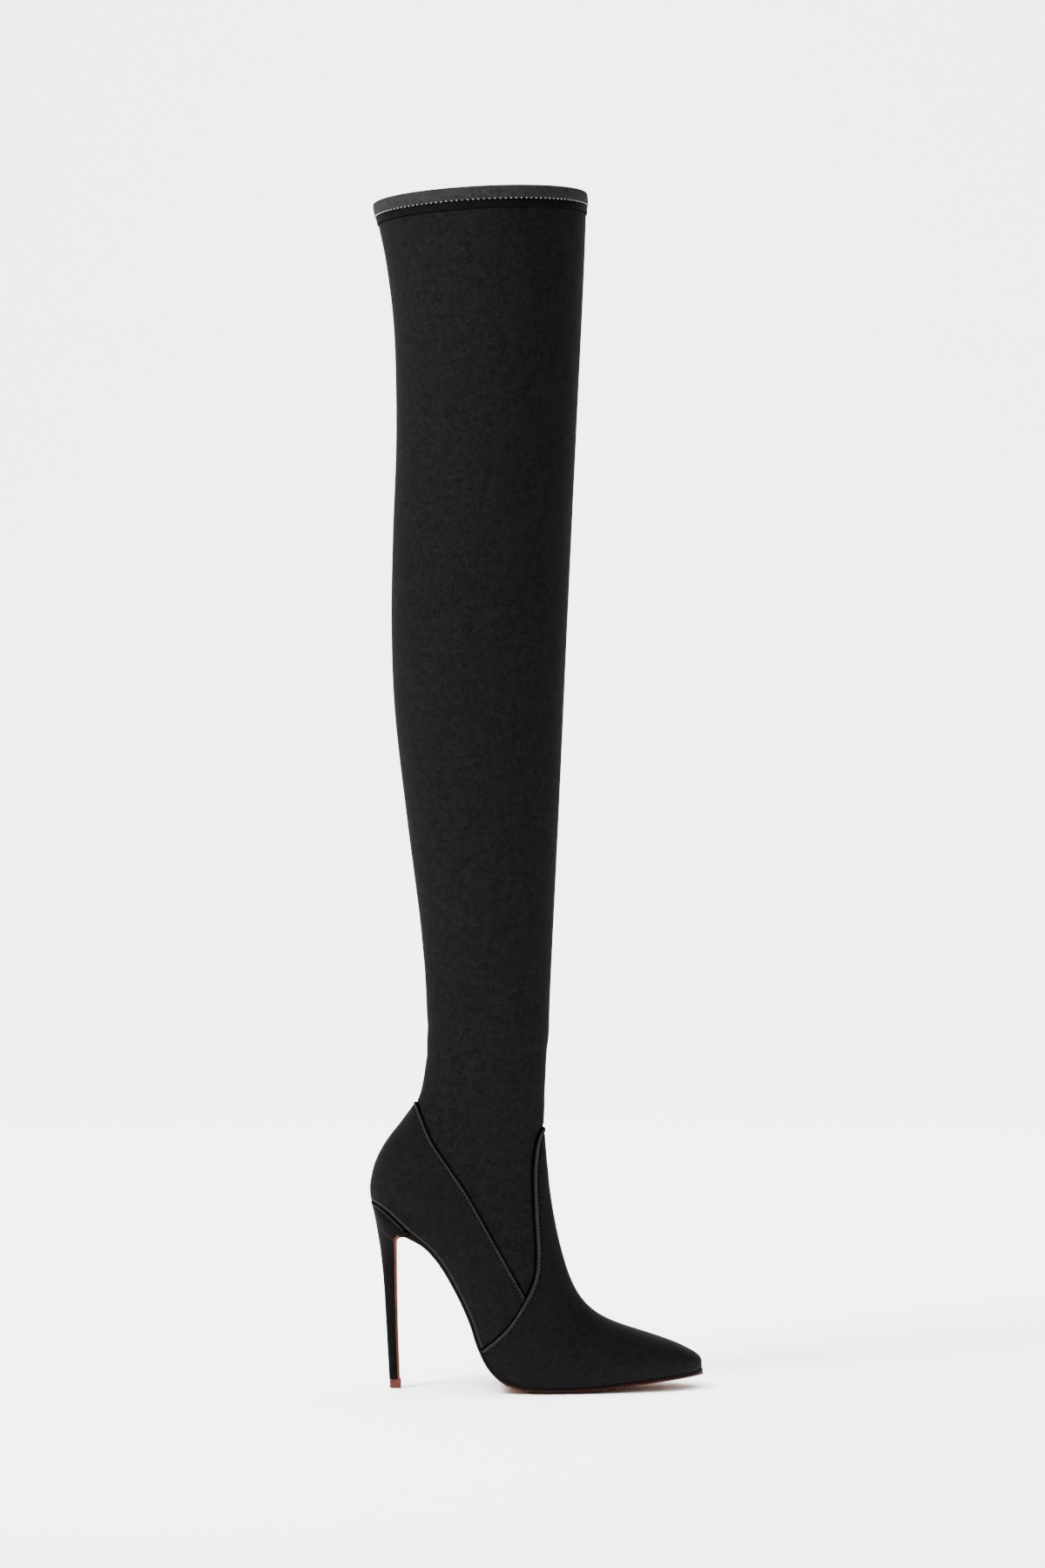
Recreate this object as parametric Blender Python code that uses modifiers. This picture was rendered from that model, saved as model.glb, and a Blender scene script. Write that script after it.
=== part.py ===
"""A thigh high boot on a high thin heel, for the right foot, standing empty in its worn shape.

Metres, +Z up. The toe points along +X and the outer side of the foot faces -Y.
The origin is on the floor, under the middle of the foot's length and under the shaft.

The leather skin of the boot is one surface, a fan of sections from the collar to the toe.
Each section starts at the back of the leg or at the edge of the sole, and ends at the front.
Every other piece takes its shape from that surface or from the line along which it meets the sole.
"""

import math

import bmesh
import bpy
import numpy as np

NAME = "thigh_high_boot"

# Foot, seen from the side
FOOT_LENGTH = 0.2086
HEEL_HEIGHT = 0.1185
INSTEP_RISE = 0.0465
TOE_HEIGHT = 0.0262
TOE_SPRING = 0.0075

# Leg, seen from the side
ANKLE_RISE = 0.1085
SHAFT_RISE = 0.5268
COLLAR_TILT = 0.0070
LEG_AXIS = -0.0310
COLLAR_DEPTH = 0.1335
CALF_DEPTH = 0.1117
ANKLE_DEPTH = 0.0771

# Widths
COLLAR_WIDTH = 0.1330
CALF_WIDTH = 0.1060
ANKLE_WIDTH = 0.0620
HEEL_WIDTH = 0.0560
WAIST_WIDTH = 0.0540
BALL_WIDTH = 0.0790

# Layers
WALL = 0.0012
PANEL = 0.0008
GAP = 0.0003
INSOLE = 0.0020
OUTSOLE = 0.0040
SOLE_EDGE = 0.0021
SOLE_LIP = 0.0004
SOLE_BEVEL = 0.0075
SHANK_SOLE = 0.0021
FLAP = 0.0012

# Binding at the collar
BAND_HEIGHT = 0.0125
BAND_INSIDE = 0.0100

# Heel: TIP_SET and BREAST_SET lie in front of the foot's back
TIP_HEIGHT = 0.0054
TIP_LENGTH = 0.0072
TIP_WIDTH = 0.0092
TIP_SET = 0.0115
TIP_ROUND = 0.0005
BREAST_SET = 0.0161
BREAST_FILLET = 0.0045
BREAST_LEAN = 0.0019
BREAST_SOLE = 0.0037
BREAST_SWELL = 0.0140
STEM_WIDTH = 0.0090

# Steps on each half of a section, and those of them that run round the back of the seat
COLUMNS = 16
CUP_COLUMNS = 4

SOLE_TOP = OUTSOLE + GAP
ANKLE_HEIGHT = HEEL_HEIGHT + ANKLE_RISE
INSTEP_HEIGHT = HEEL_HEIGHT + INSTEP_RISE
TIP_BACK = TIP_SET - FOOT_LENGTH / 2
BREAST_X = BREAST_SET - FOOT_LENGTH / 2
LAYER = GAP + PANEL

# Shaft sections from the collar down to the ankle.
# height: share of SHAFT_RISE above the ankle. tilt: share of COLLAR_TILT by which the back is lower.
# back and front: shares of the depth, from the leg's axis. half: share of the width.
# widest: share of the section's length at which it is widest, from the back.
SHAFT_SECTIONS = (
    # height, tilt, depth, back, front, width, half, widest
    (1.000, 1.0, COLLAR_DEPTH, -0.535, 0.465, COLLAR_WIDTH, 0.500, 0.50),
    (0.975, 1.0, COLLAR_DEPTH, -0.514, 0.466, COLLAR_WIDTH, 0.490, 0.50),
    (0.922, 0.7, COLLAR_DEPTH, -0.476, 0.459, COLLAR_WIDTH, 0.466, 0.50),
    (0.838, 0.4, CALF_DEPTH, -0.527, 0.531, CALF_WIDTH, 0.554, 0.50),
    (0.712, 0.1, CALF_DEPTH, -0.516, 0.502, CALF_WIDTH, 0.530, 0.49),
    (0.586, 0.0, CALF_DEPTH, -0.536, 0.474, CALF_WIDTH, 0.515, 0.48),
    (0.482, 0.0, CALF_DEPTH, -0.543, 0.451, CALF_WIDTH, 0.500, 0.47),
    (0.377, 0.0, CALF_DEPTH, -0.523, 0.429, CALF_WIDTH, 0.470, 0.46),
    (0.251, 0.0, CALF_DEPTH, -0.455, 0.402, CALF_WIDTH, 0.415, 0.47),
    (0.126, 0.0, ANKLE_DEPTH, -0.550, 0.541, ANKLE_WIDTH, 0.595, 0.49),
    (0.042, 0.0, ANKLE_DEPTH, -0.503, 0.514, ANKLE_WIDTH, 0.530, 0.50),
    (-0.006, 0.7, ANKLE_DEPTH, -0.494, 0.503, ANKLE_WIDTH, 0.505, 0.49),
)

# Heel sections, closed at the back, from the ankle down to the back of the seat.
# back_x and front_x: shares of FOOT_LENGTH. back_up and front_up: shares of ANKLE_RISE above the seat.
# half: share of HEEL_WIDTH.
HEEL_SECTIONS = (
    # back_x, back_up, front_x, front_up, half, widest
    (-0.338, 0.770, 0.0315, 0.862, 0.550, 0.47),
    (-0.356, 0.600, 0.0275, 0.730, 0.545, 0.44),
    (-0.401, 0.468, 0.0250, 0.613, 0.540, 0.41),
    (-0.450, 0.345, 0.0240, 0.516, 0.530, 0.37),
    (-0.483, 0.228, 0.0215, 0.442, 0.520, 0.33),
    (-0.498, 0.115, 0.0205, 0.381, 0.512, 0.30),
    (-0.500, 0.052, 0.0215, 0.345, 0.507, 0.285),
)

# Foot sections, open underneath, from the back of the seat to the toe.
# back_x and front_x: shares of FOOT_LENGTH. lift: share of the height from the sole's top to the seat.
# spring: share of TOE_SPRING. instep: share of INSTEP_HEIGHT. toe: share of TOE_HEIGHT.
# outer, inner: half widths, and sole_outer, sole_inner: those of the sole, as shares of the width.
# swing: share of the width by which the section lies towards the inner side. top: roundness of the top.
FOOT_SECTIONS = (
    # back_x, lift, spring, front_x, instep, toe, width,
    # swing, outer, inner, sole_outer, sole_inner, widest, top
    (-0.496, 1.000, 0, 0.023, 0.920, 0, HEEL_WIDTH, 0.00, 0.505, 0.505, 0.000, 0.000, 0.275, 2.00),
    (-0.493, 0.998, 0, 0.024, 0.911, 0, HEEL_WIDTH, 0.00, 0.504, 0.504, 0.098, 0.098, 0.272, 1.99),
    (-0.485, 0.992, 0, 0.025, 0.900, 0, HEEL_WIDTH, 0.00, 0.503, 0.503, 0.186, 0.186, 0.270, 1.98),
    (-0.472, 0.981, 0, 0.026, 0.885, 0, HEEL_WIDTH, 0.00, 0.502, 0.502, 0.270, 0.270, 0.270, 1.96),
    (-0.450, 0.953, 0, 0.028, 0.862, 0, HEEL_WIDTH, 0.00, 0.502, 0.502, 0.352, 0.350, 0.270, 1.94),
    (-0.418, 0.901, 0, 0.031, 0.828, 0, HEEL_WIDTH, 0.00, 0.502, 0.500, 0.420, 0.414, 0.270, 1.92),
    (-0.376, 0.832, 0, 0.034, 0.782, 0, HEEL_WIDTH, 0.00, 0.500, 0.495, 0.444, 0.432, 0.270, 1.90),
    (-0.329, 0.764, 0, 0.040, 0.726, 0, WAIST_WIDTH, -0.01, 0.515, 0.500, 0.430, 0.404, 0.270, 1.88),
    (-0.287, 0.676, 0, 0.049, 0.656, 0, WAIST_WIDTH, -0.02, 0.520, 0.495, 0.406, 0.362, 0.270, 1.86),
    (-0.251, 0.570, 0, 0.062, 0.576, 0, WAIST_WIDTH, -0.03, 0.535, 0.500, 0.410, 0.352, 0.270, 1.86),
    (-0.220, 0.463, 0, 0.078, 0.498, 0, WAIST_WIDTH, -0.03, 0.565, 0.525, 0.438, 0.376, 0.260, 1.88),
    (-0.192, 0.346, 0, 0.096, 0.428, 0, WAIST_WIDTH, -0.02, 0.600, 0.565, 0.480, 0.428, 0.250, 1.90),
    (-0.169, 0.220, 0, 0.119, 0.367, 0, BALL_WIDTH, -0.01, 0.425, 0.412, 0.358, 0.340, 0.240, 1.94),
    (-0.139, 0.116, 0, 0.146, 0.321, 0, BALL_WIDTH, 0.00, 0.450, 0.442, 0.398, 0.388, 0.230, 1.98),
    (-0.100, 0.047, 0, 0.175, 0.288, 0, BALL_WIDTH, 0.01, 0.475, 0.472, 0.432, 0.430, 0.220, 2.02),
    (-0.050, 0.014, 0, 0.206, 0.264, 0, BALL_WIDTH, 0.015, 0.492, 0.492, 0.456, 0.458, 0.210, 2.06),
    (0.015, 0.000, 0, 0.247, 0.241, 0, BALL_WIDTH, 0.02, 0.500, 0.500, 0.470, 0.472, 0.210, 2.10),
    (0.092, 0.000, 0, 0.295, 0.220, 0, BALL_WIDTH, 0.03, 0.492, 0.490, 0.466, 0.464, 0.210, 2.14),
    (0.170, 0.000, 0.08, 0.345, 0.1995, 0, BALL_WIDTH, 0.04, 0.470, 0.462, 0.446, 0.438, 0.220, 2.16),
    (0.247, 0.000, 0.29, 0.391, 0, 1.128, BALL_WIDTH, 0.05, 0.432, 0.420, 0.409, 0.397, 0.230, 2.18),
    (0.320, 0.000, 0.49, 0.430, 0, 1.002, BALL_WIDTH, 0.06, 0.378, 0.364, 0.356, 0.342, 0.240, 2.20),
    (0.383, 0.000, 0.66, 0.459, 0, 0.890, BALL_WIDTH, 0.066, 0.312, 0.298, 0.290, 0.276, 0.260, 2.20),
    (0.434, 0.000, 0.79, 0.480, 0, 0.794, BALL_WIDTH, 0.07, 0.238, 0.226, 0.218, 0.206, 0.280, 2.20),
    (0.470, 0.000, 0.89, 0.492, 0, 0.706, BALL_WIDTH, 0.07, 0.158, 0.150, 0.142, 0.134, 0.310, 2.20),
    (0.4895, 0.000, 0.9725, 0.4955, 0, 0.648, BALL_WIDTH, 0.07, 0.078, 0.074, 0.070, 0.066, 0.350, 2.20),
    (0.4965, 0.000, 1.00, 0.4965, 0, 0.610, BALL_WIDTH, 0.07, 0.000, 0.000, 0.000, 0.000, 0.400, 2.20),
)

SEAT_ROW = len(SHAFT_SECTIONS) + len(HEEL_SECTIONS)
TOE_ROW = SEAT_ROW + len(FOOT_SECTIONS) - 1
CUP_ROW = SEAT_ROW + 4
SHANK_ROW = SEAT_ROW + 11
TREAD_ROW = SEAT_ROW + 15
DIP_ROWS = 3

# Edge of the vamp in side view, from beyond the instep's front down to below the sole's edge.
VAMP_EDGE = (
    # share of FOOT_LENGTH, share of INSTEP_HEIGHT
    (0.080, 1.018),
    (0.030, 1.004),
    (0.016, 0.991),
    (0.004, 0.966),
    (-0.004, 0.925),
    (-0.009, 0.870),
    (-0.011, 0.800),
    (-0.007, 0.660),
    (-0.001, 0.540),
    (-0.006, 0.440),
    (-0.033, 0.357),
    (-0.085, 0.256),
    (-0.141, 0.187),
    (-0.205, 0.125),
)

# Edge of the counter in side view, from behind the ankle down to where it meets the vamp.
COUNTER_EDGE = (
    # share of FOOT_LENGTH, share of INSTEP_HEIGHT
    (-0.420, 1.215),
    (-0.360, 1.085),
    (-0.315, 0.955),
    (-0.259, 0.847),
    (-0.204, 0.740),
    (-0.125, 0.563),
    (-0.035, 0.362),
    (0.010, 0.270),
)

# Levels of the heel from just under its cup down to the stem's foot, each with its own breast point.
# back: share of FOOT_LENGTH. back_down: share of the heel's height below the seat.
# heel: share of HEEL_WIDTH, and stem: share of STEM_WIDTH, in the half width.
# rounded: length of the round at the back, as a share of the level's length.
HEEL_RINGS = (
    # back, back_down, heel, stem, rounded
    (-0.4985, 0.030, 0.455, 0.00, 0.95),
    (-0.4952, 0.053, 0.435, 0.00, 0.95),
    (-0.4914, 0.084, 0.400, 0.00, 0.95),
    (-0.4875, 0.120, 0.350, 0.00, 0.95),
    (-0.4837, 0.160, 0.295, 0.00, 0.95),
    (-0.4731, 0.280, 0.110, 0.56, 0.95),
    (-0.4636, 0.448, 0.045, 0.54, 0.90),
    (-0.4578, 0.616, 0.010, 0.54, 0.85),
    (-0.4520, 0.807, 0.000, 0.52, 0.80),
    (-0.4463, 1.000, 0.000, 0.50, 0.80),
)

# Steps of the flap: turns of its round to its highest point and on to the breast,
# then shares of the straight part
NOSE_TURNS = 2
BREAST_TURNS = 5
BREAST_STEPS = (0.12, 0.30, 0.50, 0.75, 1.0)

# How far in front and behind the cutters reach, as a share of FOOT_LENGTH
CUTTER_REACH = 0.65

# Steps of the sole's outline between two sections, and the first steps at its rounded ends
OUTLINE_STEPS = 6
SOLE_ENDS = np.array([0, 0.15, 0.5, 1.0])

# Places of the corners on each side of a level of the heel, from the breast to the back
HEEL_AROUND = (1.0, 0.80, 0.60, 0.42, 0.26, 0.13, 0.04, 0.0)

# Surfaces
STRETCH_BLACK = (0.010, 0.010, 0.011)
LEATHER_BLACK = (0.012, 0.012, 0.013)
BAND_BLACK = (0.045, 0.046, 0.050)
LINING_BLACK = (0.020, 0.018, 0.017)
SOLE_TAN = (0.300, 0.150, 0.085)
TIP_BROWN = (0.180, 0.050, 0.030)
SHARP_ANGLE = math.radians(35)


def smooth(rows, at):
    """Rows of a table at the places `at`, on a curve through every row."""
    rows = np.asarray(rows, float)
    slopes = np.gradient(rows, axis=0, edge_order=2)
    first = np.clip(np.floor(at).astype(int), 0, len(rows) - 2)
    t = (np.asarray(at, float) - first)[:, None]
    start = rows[first] * (1 + 2 * t) * (1 - t) ** 2
    end = rows[first + 1] * t**2 * (3 - 2 * t)
    bend = slopes[first] * t * (1 - t) ** 2 - slopes[first + 1] * t**2 * (1 - t)
    return start + end + bend


def section_rows():
    """Side view, widths and roundness of every section, from the collar to the toe."""
    edges, shapes = [], []
    for height, tilt, depth, back, front, width, half, widest in SHAFT_SECTIONS:
        z = ANKLE_HEIGHT + height * (SHAFT_RISE - LAYER)
        back_z = z - tilt * COLLAR_TILT
        edges.append((LEG_AXIS + back * depth, back_z, 0, 0))
        shapes.append((LEG_AXIS + front * depth, z, 0, half * width, half * width, widest, 2.0))
    for back_x, back_up, front_x, front_up, half, widest in HEEL_SECTIONS:
        edges.append((back_x * FOOT_LENGTH, HEEL_HEIGHT + back_up * ANKLE_RISE, 0, 0))
        front_z = HEEL_HEIGHT + front_up * ANKLE_RISE
        half_width = half * HEEL_WIDTH
        shapes.append((front_x * FOOT_LENGTH, front_z, 0, half_width, half_width, widest, 2.0))
    for row in FOOT_SECTIONS:
        back_x, lift, spring, front_x, instep, toe, width = row[:7]
        swing, outer, inner, sole_outer, sole_inner, widest, top = row[7:]
        back_z = SOLE_TOP + lift * (HEEL_HEIGHT - SOLE_TOP) + spring * TOE_SPRING
        front_z = instep * INSTEP_HEIGHT + toe * TOE_HEIGHT
        edges.append((back_x * FOOT_LENGTH, back_z, sole_outer * width, sole_inner * width))
        widths = (swing * width, outer * width, inner * width)
        shapes.append((front_x * FOOT_LENGTH, front_z, *widths, widest, top))
    return edges, shapes


EDGES, SHAPES = section_rows()


def edge_at(at):
    """Back or sole edge of the sections at `at`: x, z and the sole's half widths."""
    at = np.asarray(at, float)
    leg = smooth(EDGES[: SEAT_ROW + 1], np.minimum(at, SEAT_ROW))
    foot = smooth(EDGES[SEAT_ROW:], np.maximum(at - SEAT_ROW, 0))
    return np.where((at > SEAT_ROW)[:, None], foot, leg)


def half_section(length, half, sole_half, widest, top, columns):
    """One side of a section, from its back to its front: places along it and half widths."""
    sole_half = min(sole_half, 0.995 * half)
    cut = math.sqrt(1 - (sole_half / max(half, 1e-9)) ** 2)
    turn = np.linspace(0, math.pi / 2, 60)
    low_turn = turn * math.asin(cut) / (math.pi / 2)
    low_along = widest * (1 - np.sin(low_turn)[::-1] / max(cut, 1e-9))
    low_width = half * np.cos(low_turn)[::-1]
    top_along = widest + (1 - widest) * np.sin(turn) ** (2 / top)
    top_width = half * np.cos(turn) ** (2 / top)
    along = length * np.concatenate([low_along, top_along[1:]])
    across = np.concatenate([low_width, top_width[1:]])
    across[-1] = 0
    walked = np.concatenate([[0], np.cumsum(np.hypot(np.diff(along), np.diff(across)))])
    wanted = np.linspace(0, walked[-1], columns + 1)
    return np.interp(wanted, walked, along), np.interp(wanted, walked, across)


def section_points(at, columns):
    """Both sides of the section at one place, each from its back to its front."""
    edge, shape = edge_at([at])[0], smooth(SHAPES, [at])[0]
    back = np.array([edge[0], 0, edge[1]])
    front = np.array([shape[0], 0, shape[1]])
    length = np.linalg.norm(front - back)
    lean = (front - back) / length
    swing, outer, inner, widest, top = shape[2:]
    sides = []
    for side, half, sole_half in ((-1, outer, edge[2]), (1, inner, edge[3])):
        half, sole_half = max(half, 0), max(sole_half, 0)
        along, across = half_section(length, half, sole_half, widest, top, columns)
        points = back + along[:, None] * lean
        points[:, 1] = swing + side * across
        sides.append(points)
    return sides


def cup_points(columns, cup):
    """The row that runs round the back of the seat, then up the first open section."""
    seat = edge_at(np.linspace(SEAT_ROW, CUP_ROW, cup + 1))
    sides = []
    for sign, column, section in zip((-1, 1), (2, 3), section_points(CUP_ROW, columns - cup)):
        line = np.column_stack([seat[:, 0], sign * seat[:, column], seat[:, 1]])
        sides.append(np.concatenate([line, section[1:]]))
    return sides


def skin_points(at, columns=COLUMNS, cup=CUP_COLUMNS):
    """Points of the boot's surface, a row for each section, from its outer side over the front."""
    flat = section_points(SEAT_ROW, columns)
    dips = [bent - level for bent, level in zip(cup_points(columns, cup), flat)]
    rows = []
    for place in at:
        if place > SEAT_ROW:
            sides = section_points(place, columns - cup)
            sides = [np.concatenate([side[:1].repeat(cup, axis=0), side]) for side in sides]
        else:
            share = max(0, 1 - (SEAT_ROW - place) / DIP_ROWS)
            share = share**2 * (3 - 2 * share)
            sides = [side + share * dip for side, dip in zip(section_points(place, columns), dips)]
        rows.append(np.concatenate([sides[0], sides[1][-2::-1]]))
    return np.array(rows)


def mesh_object(name, points, faces, collection):
    """A mesh object whose points that fall together are one."""
    mesh = bpy.data.meshes.new(name)
    shape = bmesh.new()
    places, corners = {}, []
    for point in points:
        place = tuple(round(value, 6) for value in point)
        if place not in places:
            places[place] = shape.verts.new(point)
        corners.append(places[place])
    for face in faces:
        own = list(dict.fromkeys(corners[i] for i in face))
        if len(own) == len(face) or len(own) == 3 == len(face) - 1:
            shape.faces.new(own)
    shape.to_mesh(mesh)
    shape.free()
    thing = bpy.data.objects.new(name, mesh)
    collection.objects.link(thing)
    return thing


def skin_rows(first, last):
    """Places of the rows of the surface from one section to another."""
    rows = np.arange(first, last + 1)
    return rows[(rows <= SEAT_ROW) | (rows > CUP_ROW)]


def skin(name, at, collection):
    """The open surface of the boot through the sections at `at`."""
    rows = skin_points(at)
    count, wide = rows.shape[:2]
    faces = []
    for i in range(count - 1):
        edge = CUP_COLUMNS if at[i + 1] > SEAT_ROW else 0
        for j in range(edge, wide - 1 - edge):
            a, b = i * wide + j, (i + 1) * wide + j
            if j < wide // 2:
                faces += [(a, b, b + 1), (a, b + 1, a + 1)]
            else:
                faces += [(a, b, a + 1), (b, b + 1, a + 1)]
    return mesh_object(name, rows.reshape(-1, 3), faces, collection)


def loft(name, rings, collection, capped=True):
    """A closed solid through rings of equally many points, with flat ends or joined into a ring."""
    rings = np.asarray(rings)
    count, around = rings.shape[:2]
    faces = []
    for i in range(count - 1 if capped else count):
        for j in range(around):
            a, b = i * around, (i + 1) % count * around
            k = (j + 1) % around
            faces.append((a + j, a + k, b + k, b + j))
    if capped:
        faces.append(tuple(range(around))[::-1])
        last = (count - 1) * around
        faces.append(tuple(range(last, last + around)))
    thing = mesh_object(name, rings.reshape(-1, 3), faces, collection)
    shape = bmesh.new()
    shape.from_mesh(thing.data)
    bmesh.ops.recalc_face_normals(shape, faces=shape.faces)
    shape.to_mesh(thing.data)
    shape.free()
    return thing


def prism(name, outline, collection):
    """A cutter: an outline in side view, drawn across the whole boot."""
    reach = BALL_WIDTH
    sides = [[(x, side * reach, z) for x, z in outline] for side in (-1, 1)]
    cutter = loft(name, sides, collection)
    cutter.hide_render = True
    cutter.display_type = "WIRE"
    return cutter


def shell(thing, thickness, start=0.0):
    """Thickens an open surface outwards, or inwards where the thickness is negative."""
    if start:
        move = thing.modifiers.new("layer", "DISPLACE")
        move.mid_level = 0
        move.strength = start
    wall = thing.modifiers.new("wall", "SOLIDIFY")
    wall.thickness = abs(thickness)
    wall.offset = math.copysign(1, thickness)


def keep_inside(thing, cutter):
    """Keeps only what lies inside the cutter."""
    cut = thing.modifiers.new(cutter.name, "BOOLEAN")
    cut.operation = "INTERSECT"
    cut.solver = "MANIFOLD"
    cut.object = cutter


def shifted(line, distance):
    """A line in side view moved to its left by a distance."""
    line = np.asarray(line, float)
    steps = np.gradient(line, axis=0)
    steps /= np.linalg.norm(steps, axis=1)[:, None]
    return line + distance * np.column_stack([-steps[:, 1], steps[:, 0]])


def seam_line(edge, steps=3):
    """The smooth line of a seam in side view."""
    sizes = np.array([FOOT_LENGTH, INSTEP_HEIGHT])
    at = np.linspace(0, len(edge) - 1, (len(edge) - 1) * steps + 1)
    return smooth(np.array(edge) * sizes, at)


def feather_line(rise):
    """The line along which skin and sole meet, from the seat to the toe, a little raised."""
    at = np.arange(SEAT_ROW, TOE_ROW + 1)
    return shifted(edge_at(at)[:, :2], rise)


def sole_outline(grow):
    """Walk along the sole, its side view and half widths, grown all round by a distance."""
    at = np.linspace(SEAT_ROW, TOE_ROW, OUTLINE_STEPS * (TOE_ROW - SEAT_ROW) + 1)
    edge = edge_at(at)
    shape = smooth(SHAPES, at)
    walked = np.concatenate([[0], np.cumsum(np.hypot(*np.diff(edge[:, :2], axis=0).T))])
    halves = []
    for side in (0, 1):
        line = np.column_stack([walked, edge[:, 2 + side]])
        steps = np.gradient(line, axis=0)
        steps /= np.linalg.norm(steps, axis=1)[:, None]
        steps[0], steps[-1] = (0, 1), (0, -1)
        halves.append(line + grow * np.column_stack([-steps[:, 1], steps[:, 0]]))
    return walked, edge[:, :2], shape[:, 2], halves


def sole_sections(grow, start=None):
    """Stations of the grown outline, from its back or from `start`.

    Each has its walk from the seat, side view point, direction, and two edges in Y.
    """
    walked, line, swing, (outer, inner) = sole_outline(grow)
    ends = SOLE_ENDS * 2 * abs(grow)
    back = -grow + ends if start is None else np.array([start])
    toe = walked[-1] + grow - ends[::-1]
    rows = walked[::OUTLINE_STEPS]
    rows = rows[(rows > back[0] + ends[-1]) & (rows < toe[0])]
    at = np.concatenate([back, rows, toe])
    inside = np.clip(at, 0, walked[-1])
    slopes = np.gradient(line, walked, axis=0)
    ahead = np.column_stack([np.interp(inside, walked, slopes[:, k]) for k in (0, 1)])
    ahead /= np.linalg.norm(ahead, axis=1)[:, None]
    points = np.column_stack([np.interp(inside, walked, line[:, k]) for k in (0, 1)])
    points += (at - inside)[:, None] * ahead
    middle = np.interp(inside, walked, swing)
    left = middle - np.interp(at, *outer.T)
    right = middle + np.interp(at, *inner.T)
    return at, points, ahead, left, right


def build_upper(collection):
    """One hollow sock: foot and shaft, open at the collar and underneath."""
    upper = skin("upper", skin_rows(0, TOE_ROW), collection)
    shell(upper, -WALL)
    return upper


def build_vamp(collection, cutters):
    """The overlay of the forefoot and instep, cut at its stitched edge."""
    vamp = skin("vamp", skin_rows(SEAT_ROW - 5, TOE_ROW), collection)
    shell(vamp, PANEL, GAP)
    ahead = CUTTER_REACH * FOOT_LENGTH
    below = feather_line(GAP)
    edge = seam_line(VAMP_EDGE)
    edge = edge[edge[:, 1] > np.interp(edge[:, 0], *below.T)]
    below = below[below[:, 0] > edge[-1, 0] + GAP]
    toe = below[-1]
    corners = [(ahead, toe[1]), (ahead, edge[0, 1])]
    outline = np.concatenate([edge, below, corners])
    keep_inside(vamp, prism("vamp_outline", outline, cutters))
    return vamp


def build_counter(collection, cutters):
    """The overlay round the heel and along the waist, up to the vamp's edge."""
    counter = skin("counter", skin_rows(SEAT_ROW - 7, SEAT_ROW + 16), collection)
    shell(counter, PANEL, GAP)
    upper_edge = seam_line(COUNTER_EDGE)
    vamp_edge = shifted(seam_line(VAMP_EDGE), -1.5 * GAP)
    below = feather_line(GAP)
    meet = np.interp(vamp_edge[:, 0], *upper_edge.T) > vamp_edge[:, 1]
    front = vamp_edge[meet & (vamp_edge[:, 1] > np.interp(vamp_edge[:, 0], *below.T))]
    upper_edge = upper_edge[upper_edge[:, 0] < front[0, 0] - GAP]
    below = below[below[:, 0] < front[-1, 0] - GAP][::-1]
    behind = -CUTTER_REACH * FOOT_LENGTH
    corners = [(behind, below[-1, 1]), (behind, upper_edge[0, 1])]
    outline = np.concatenate([upper_edge, front, below, corners])
    keep_inside(counter, prism("counter_outline", outline, cutters))
    return counter


def build_top_band(collection):
    """The binding folded over the collar's edge, a channel all round the collar."""
    places = np.linspace(0, 2, 41)
    heights = smooth(SHAPES, places)[:, 1]
    up = np.array([0, 0, 1.0])

    def ring(depth, out, rise=0.0):
        """The collar's outline some way down the shaft, moved outwards and upwards."""
        points = skin_points([np.interp(depth, heights[0] - heights, places)])[0][:-1]
        around = np.roll(points, -1, axis=0) - np.roll(points, 1, axis=0)
        outward = np.cross(around, up)
        outward /= np.linalg.norm(outward, axis=1)[:, None]
        return points + out * outward + rise * up

    inside = -WALL - GAP
    profile = [
        ring(BAND_HEIGHT, LAYER),
        ring(0, LAYER, LAYER),
        ring(0, inside - PANEL, LAYER),
        ring(BAND_INSIDE, inside - PANEL),
        ring(BAND_INSIDE, inside),
        ring(0, inside, GAP),
        ring(0, GAP, GAP),
        ring(BAND_HEIGHT, GAP),
    ]
    return loft("top_band", np.transpose(profile, (1, 0, 2)), collection, capped=False)


def build_insole(collection):
    """The board inside, on the sole and the heel's seat, clear of the wall."""
    _, points, ahead, left, right = sole_sections(-WALL - 2 * GAP)
    up = np.column_stack([-ahead[:, 1], ahead[:, 0]])
    rings = []
    for (x, z), (dx, dz), y0, y1 in zip(points, up * INSOLE, left, right):
        rings.append([(x, y0, z), (x, y1, z), (x + dx, y1, z + dz), (x + dx, y0, z + dz)])
    return loft("insole", rings, collection)


def sole_depths(at, x):
    """Thickness of the sole in its middle and at its edge, by the walk from the seat and by x."""
    tread = edge_at([TREAD_ROW])[0, 0]
    shank = edge_at([SHANK_ROW])[0, 0]
    tangent = breast_tangent()[0]
    depth = np.interp(x, [shank, tread], [SHANK_SOLE, OUTSOLE])
    edge = np.interp(x, [shank, tread], [SHANK_SOLE, SOLE_EDGE])
    root = BREAST_SOLE - SHANK_SOLE
    swell = root * np.clip(1 - (at - tangent) / BREAST_SWELL, 0, 1) ** 2
    return depth + swell, edge + swell


def breast_tangent():
    """Where the sole turns down: walk from the seat, centre of the round and its first angle."""
    walked, line, _, _ = sole_outline(0)
    reach = shifted(line, -GAP - BREAST_SOLE - BREAST_FILLET)
    near = slice(len(line) // 20, len(line) // 2)
    centre_x = BREAST_X + BREAST_FILLET
    at = np.interp(centre_x, reach[near, 0], walked[near])
    centre = np.array([centre_x, np.interp(centre_x, *reach[near].T)])
    slopes = np.gradient(line, walked, axis=0)
    ahead = [np.interp(at, walked, slopes[:, k]) for k in (0, 1)]
    return at, centre, math.atan2(ahead[0], -ahead[1])


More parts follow.
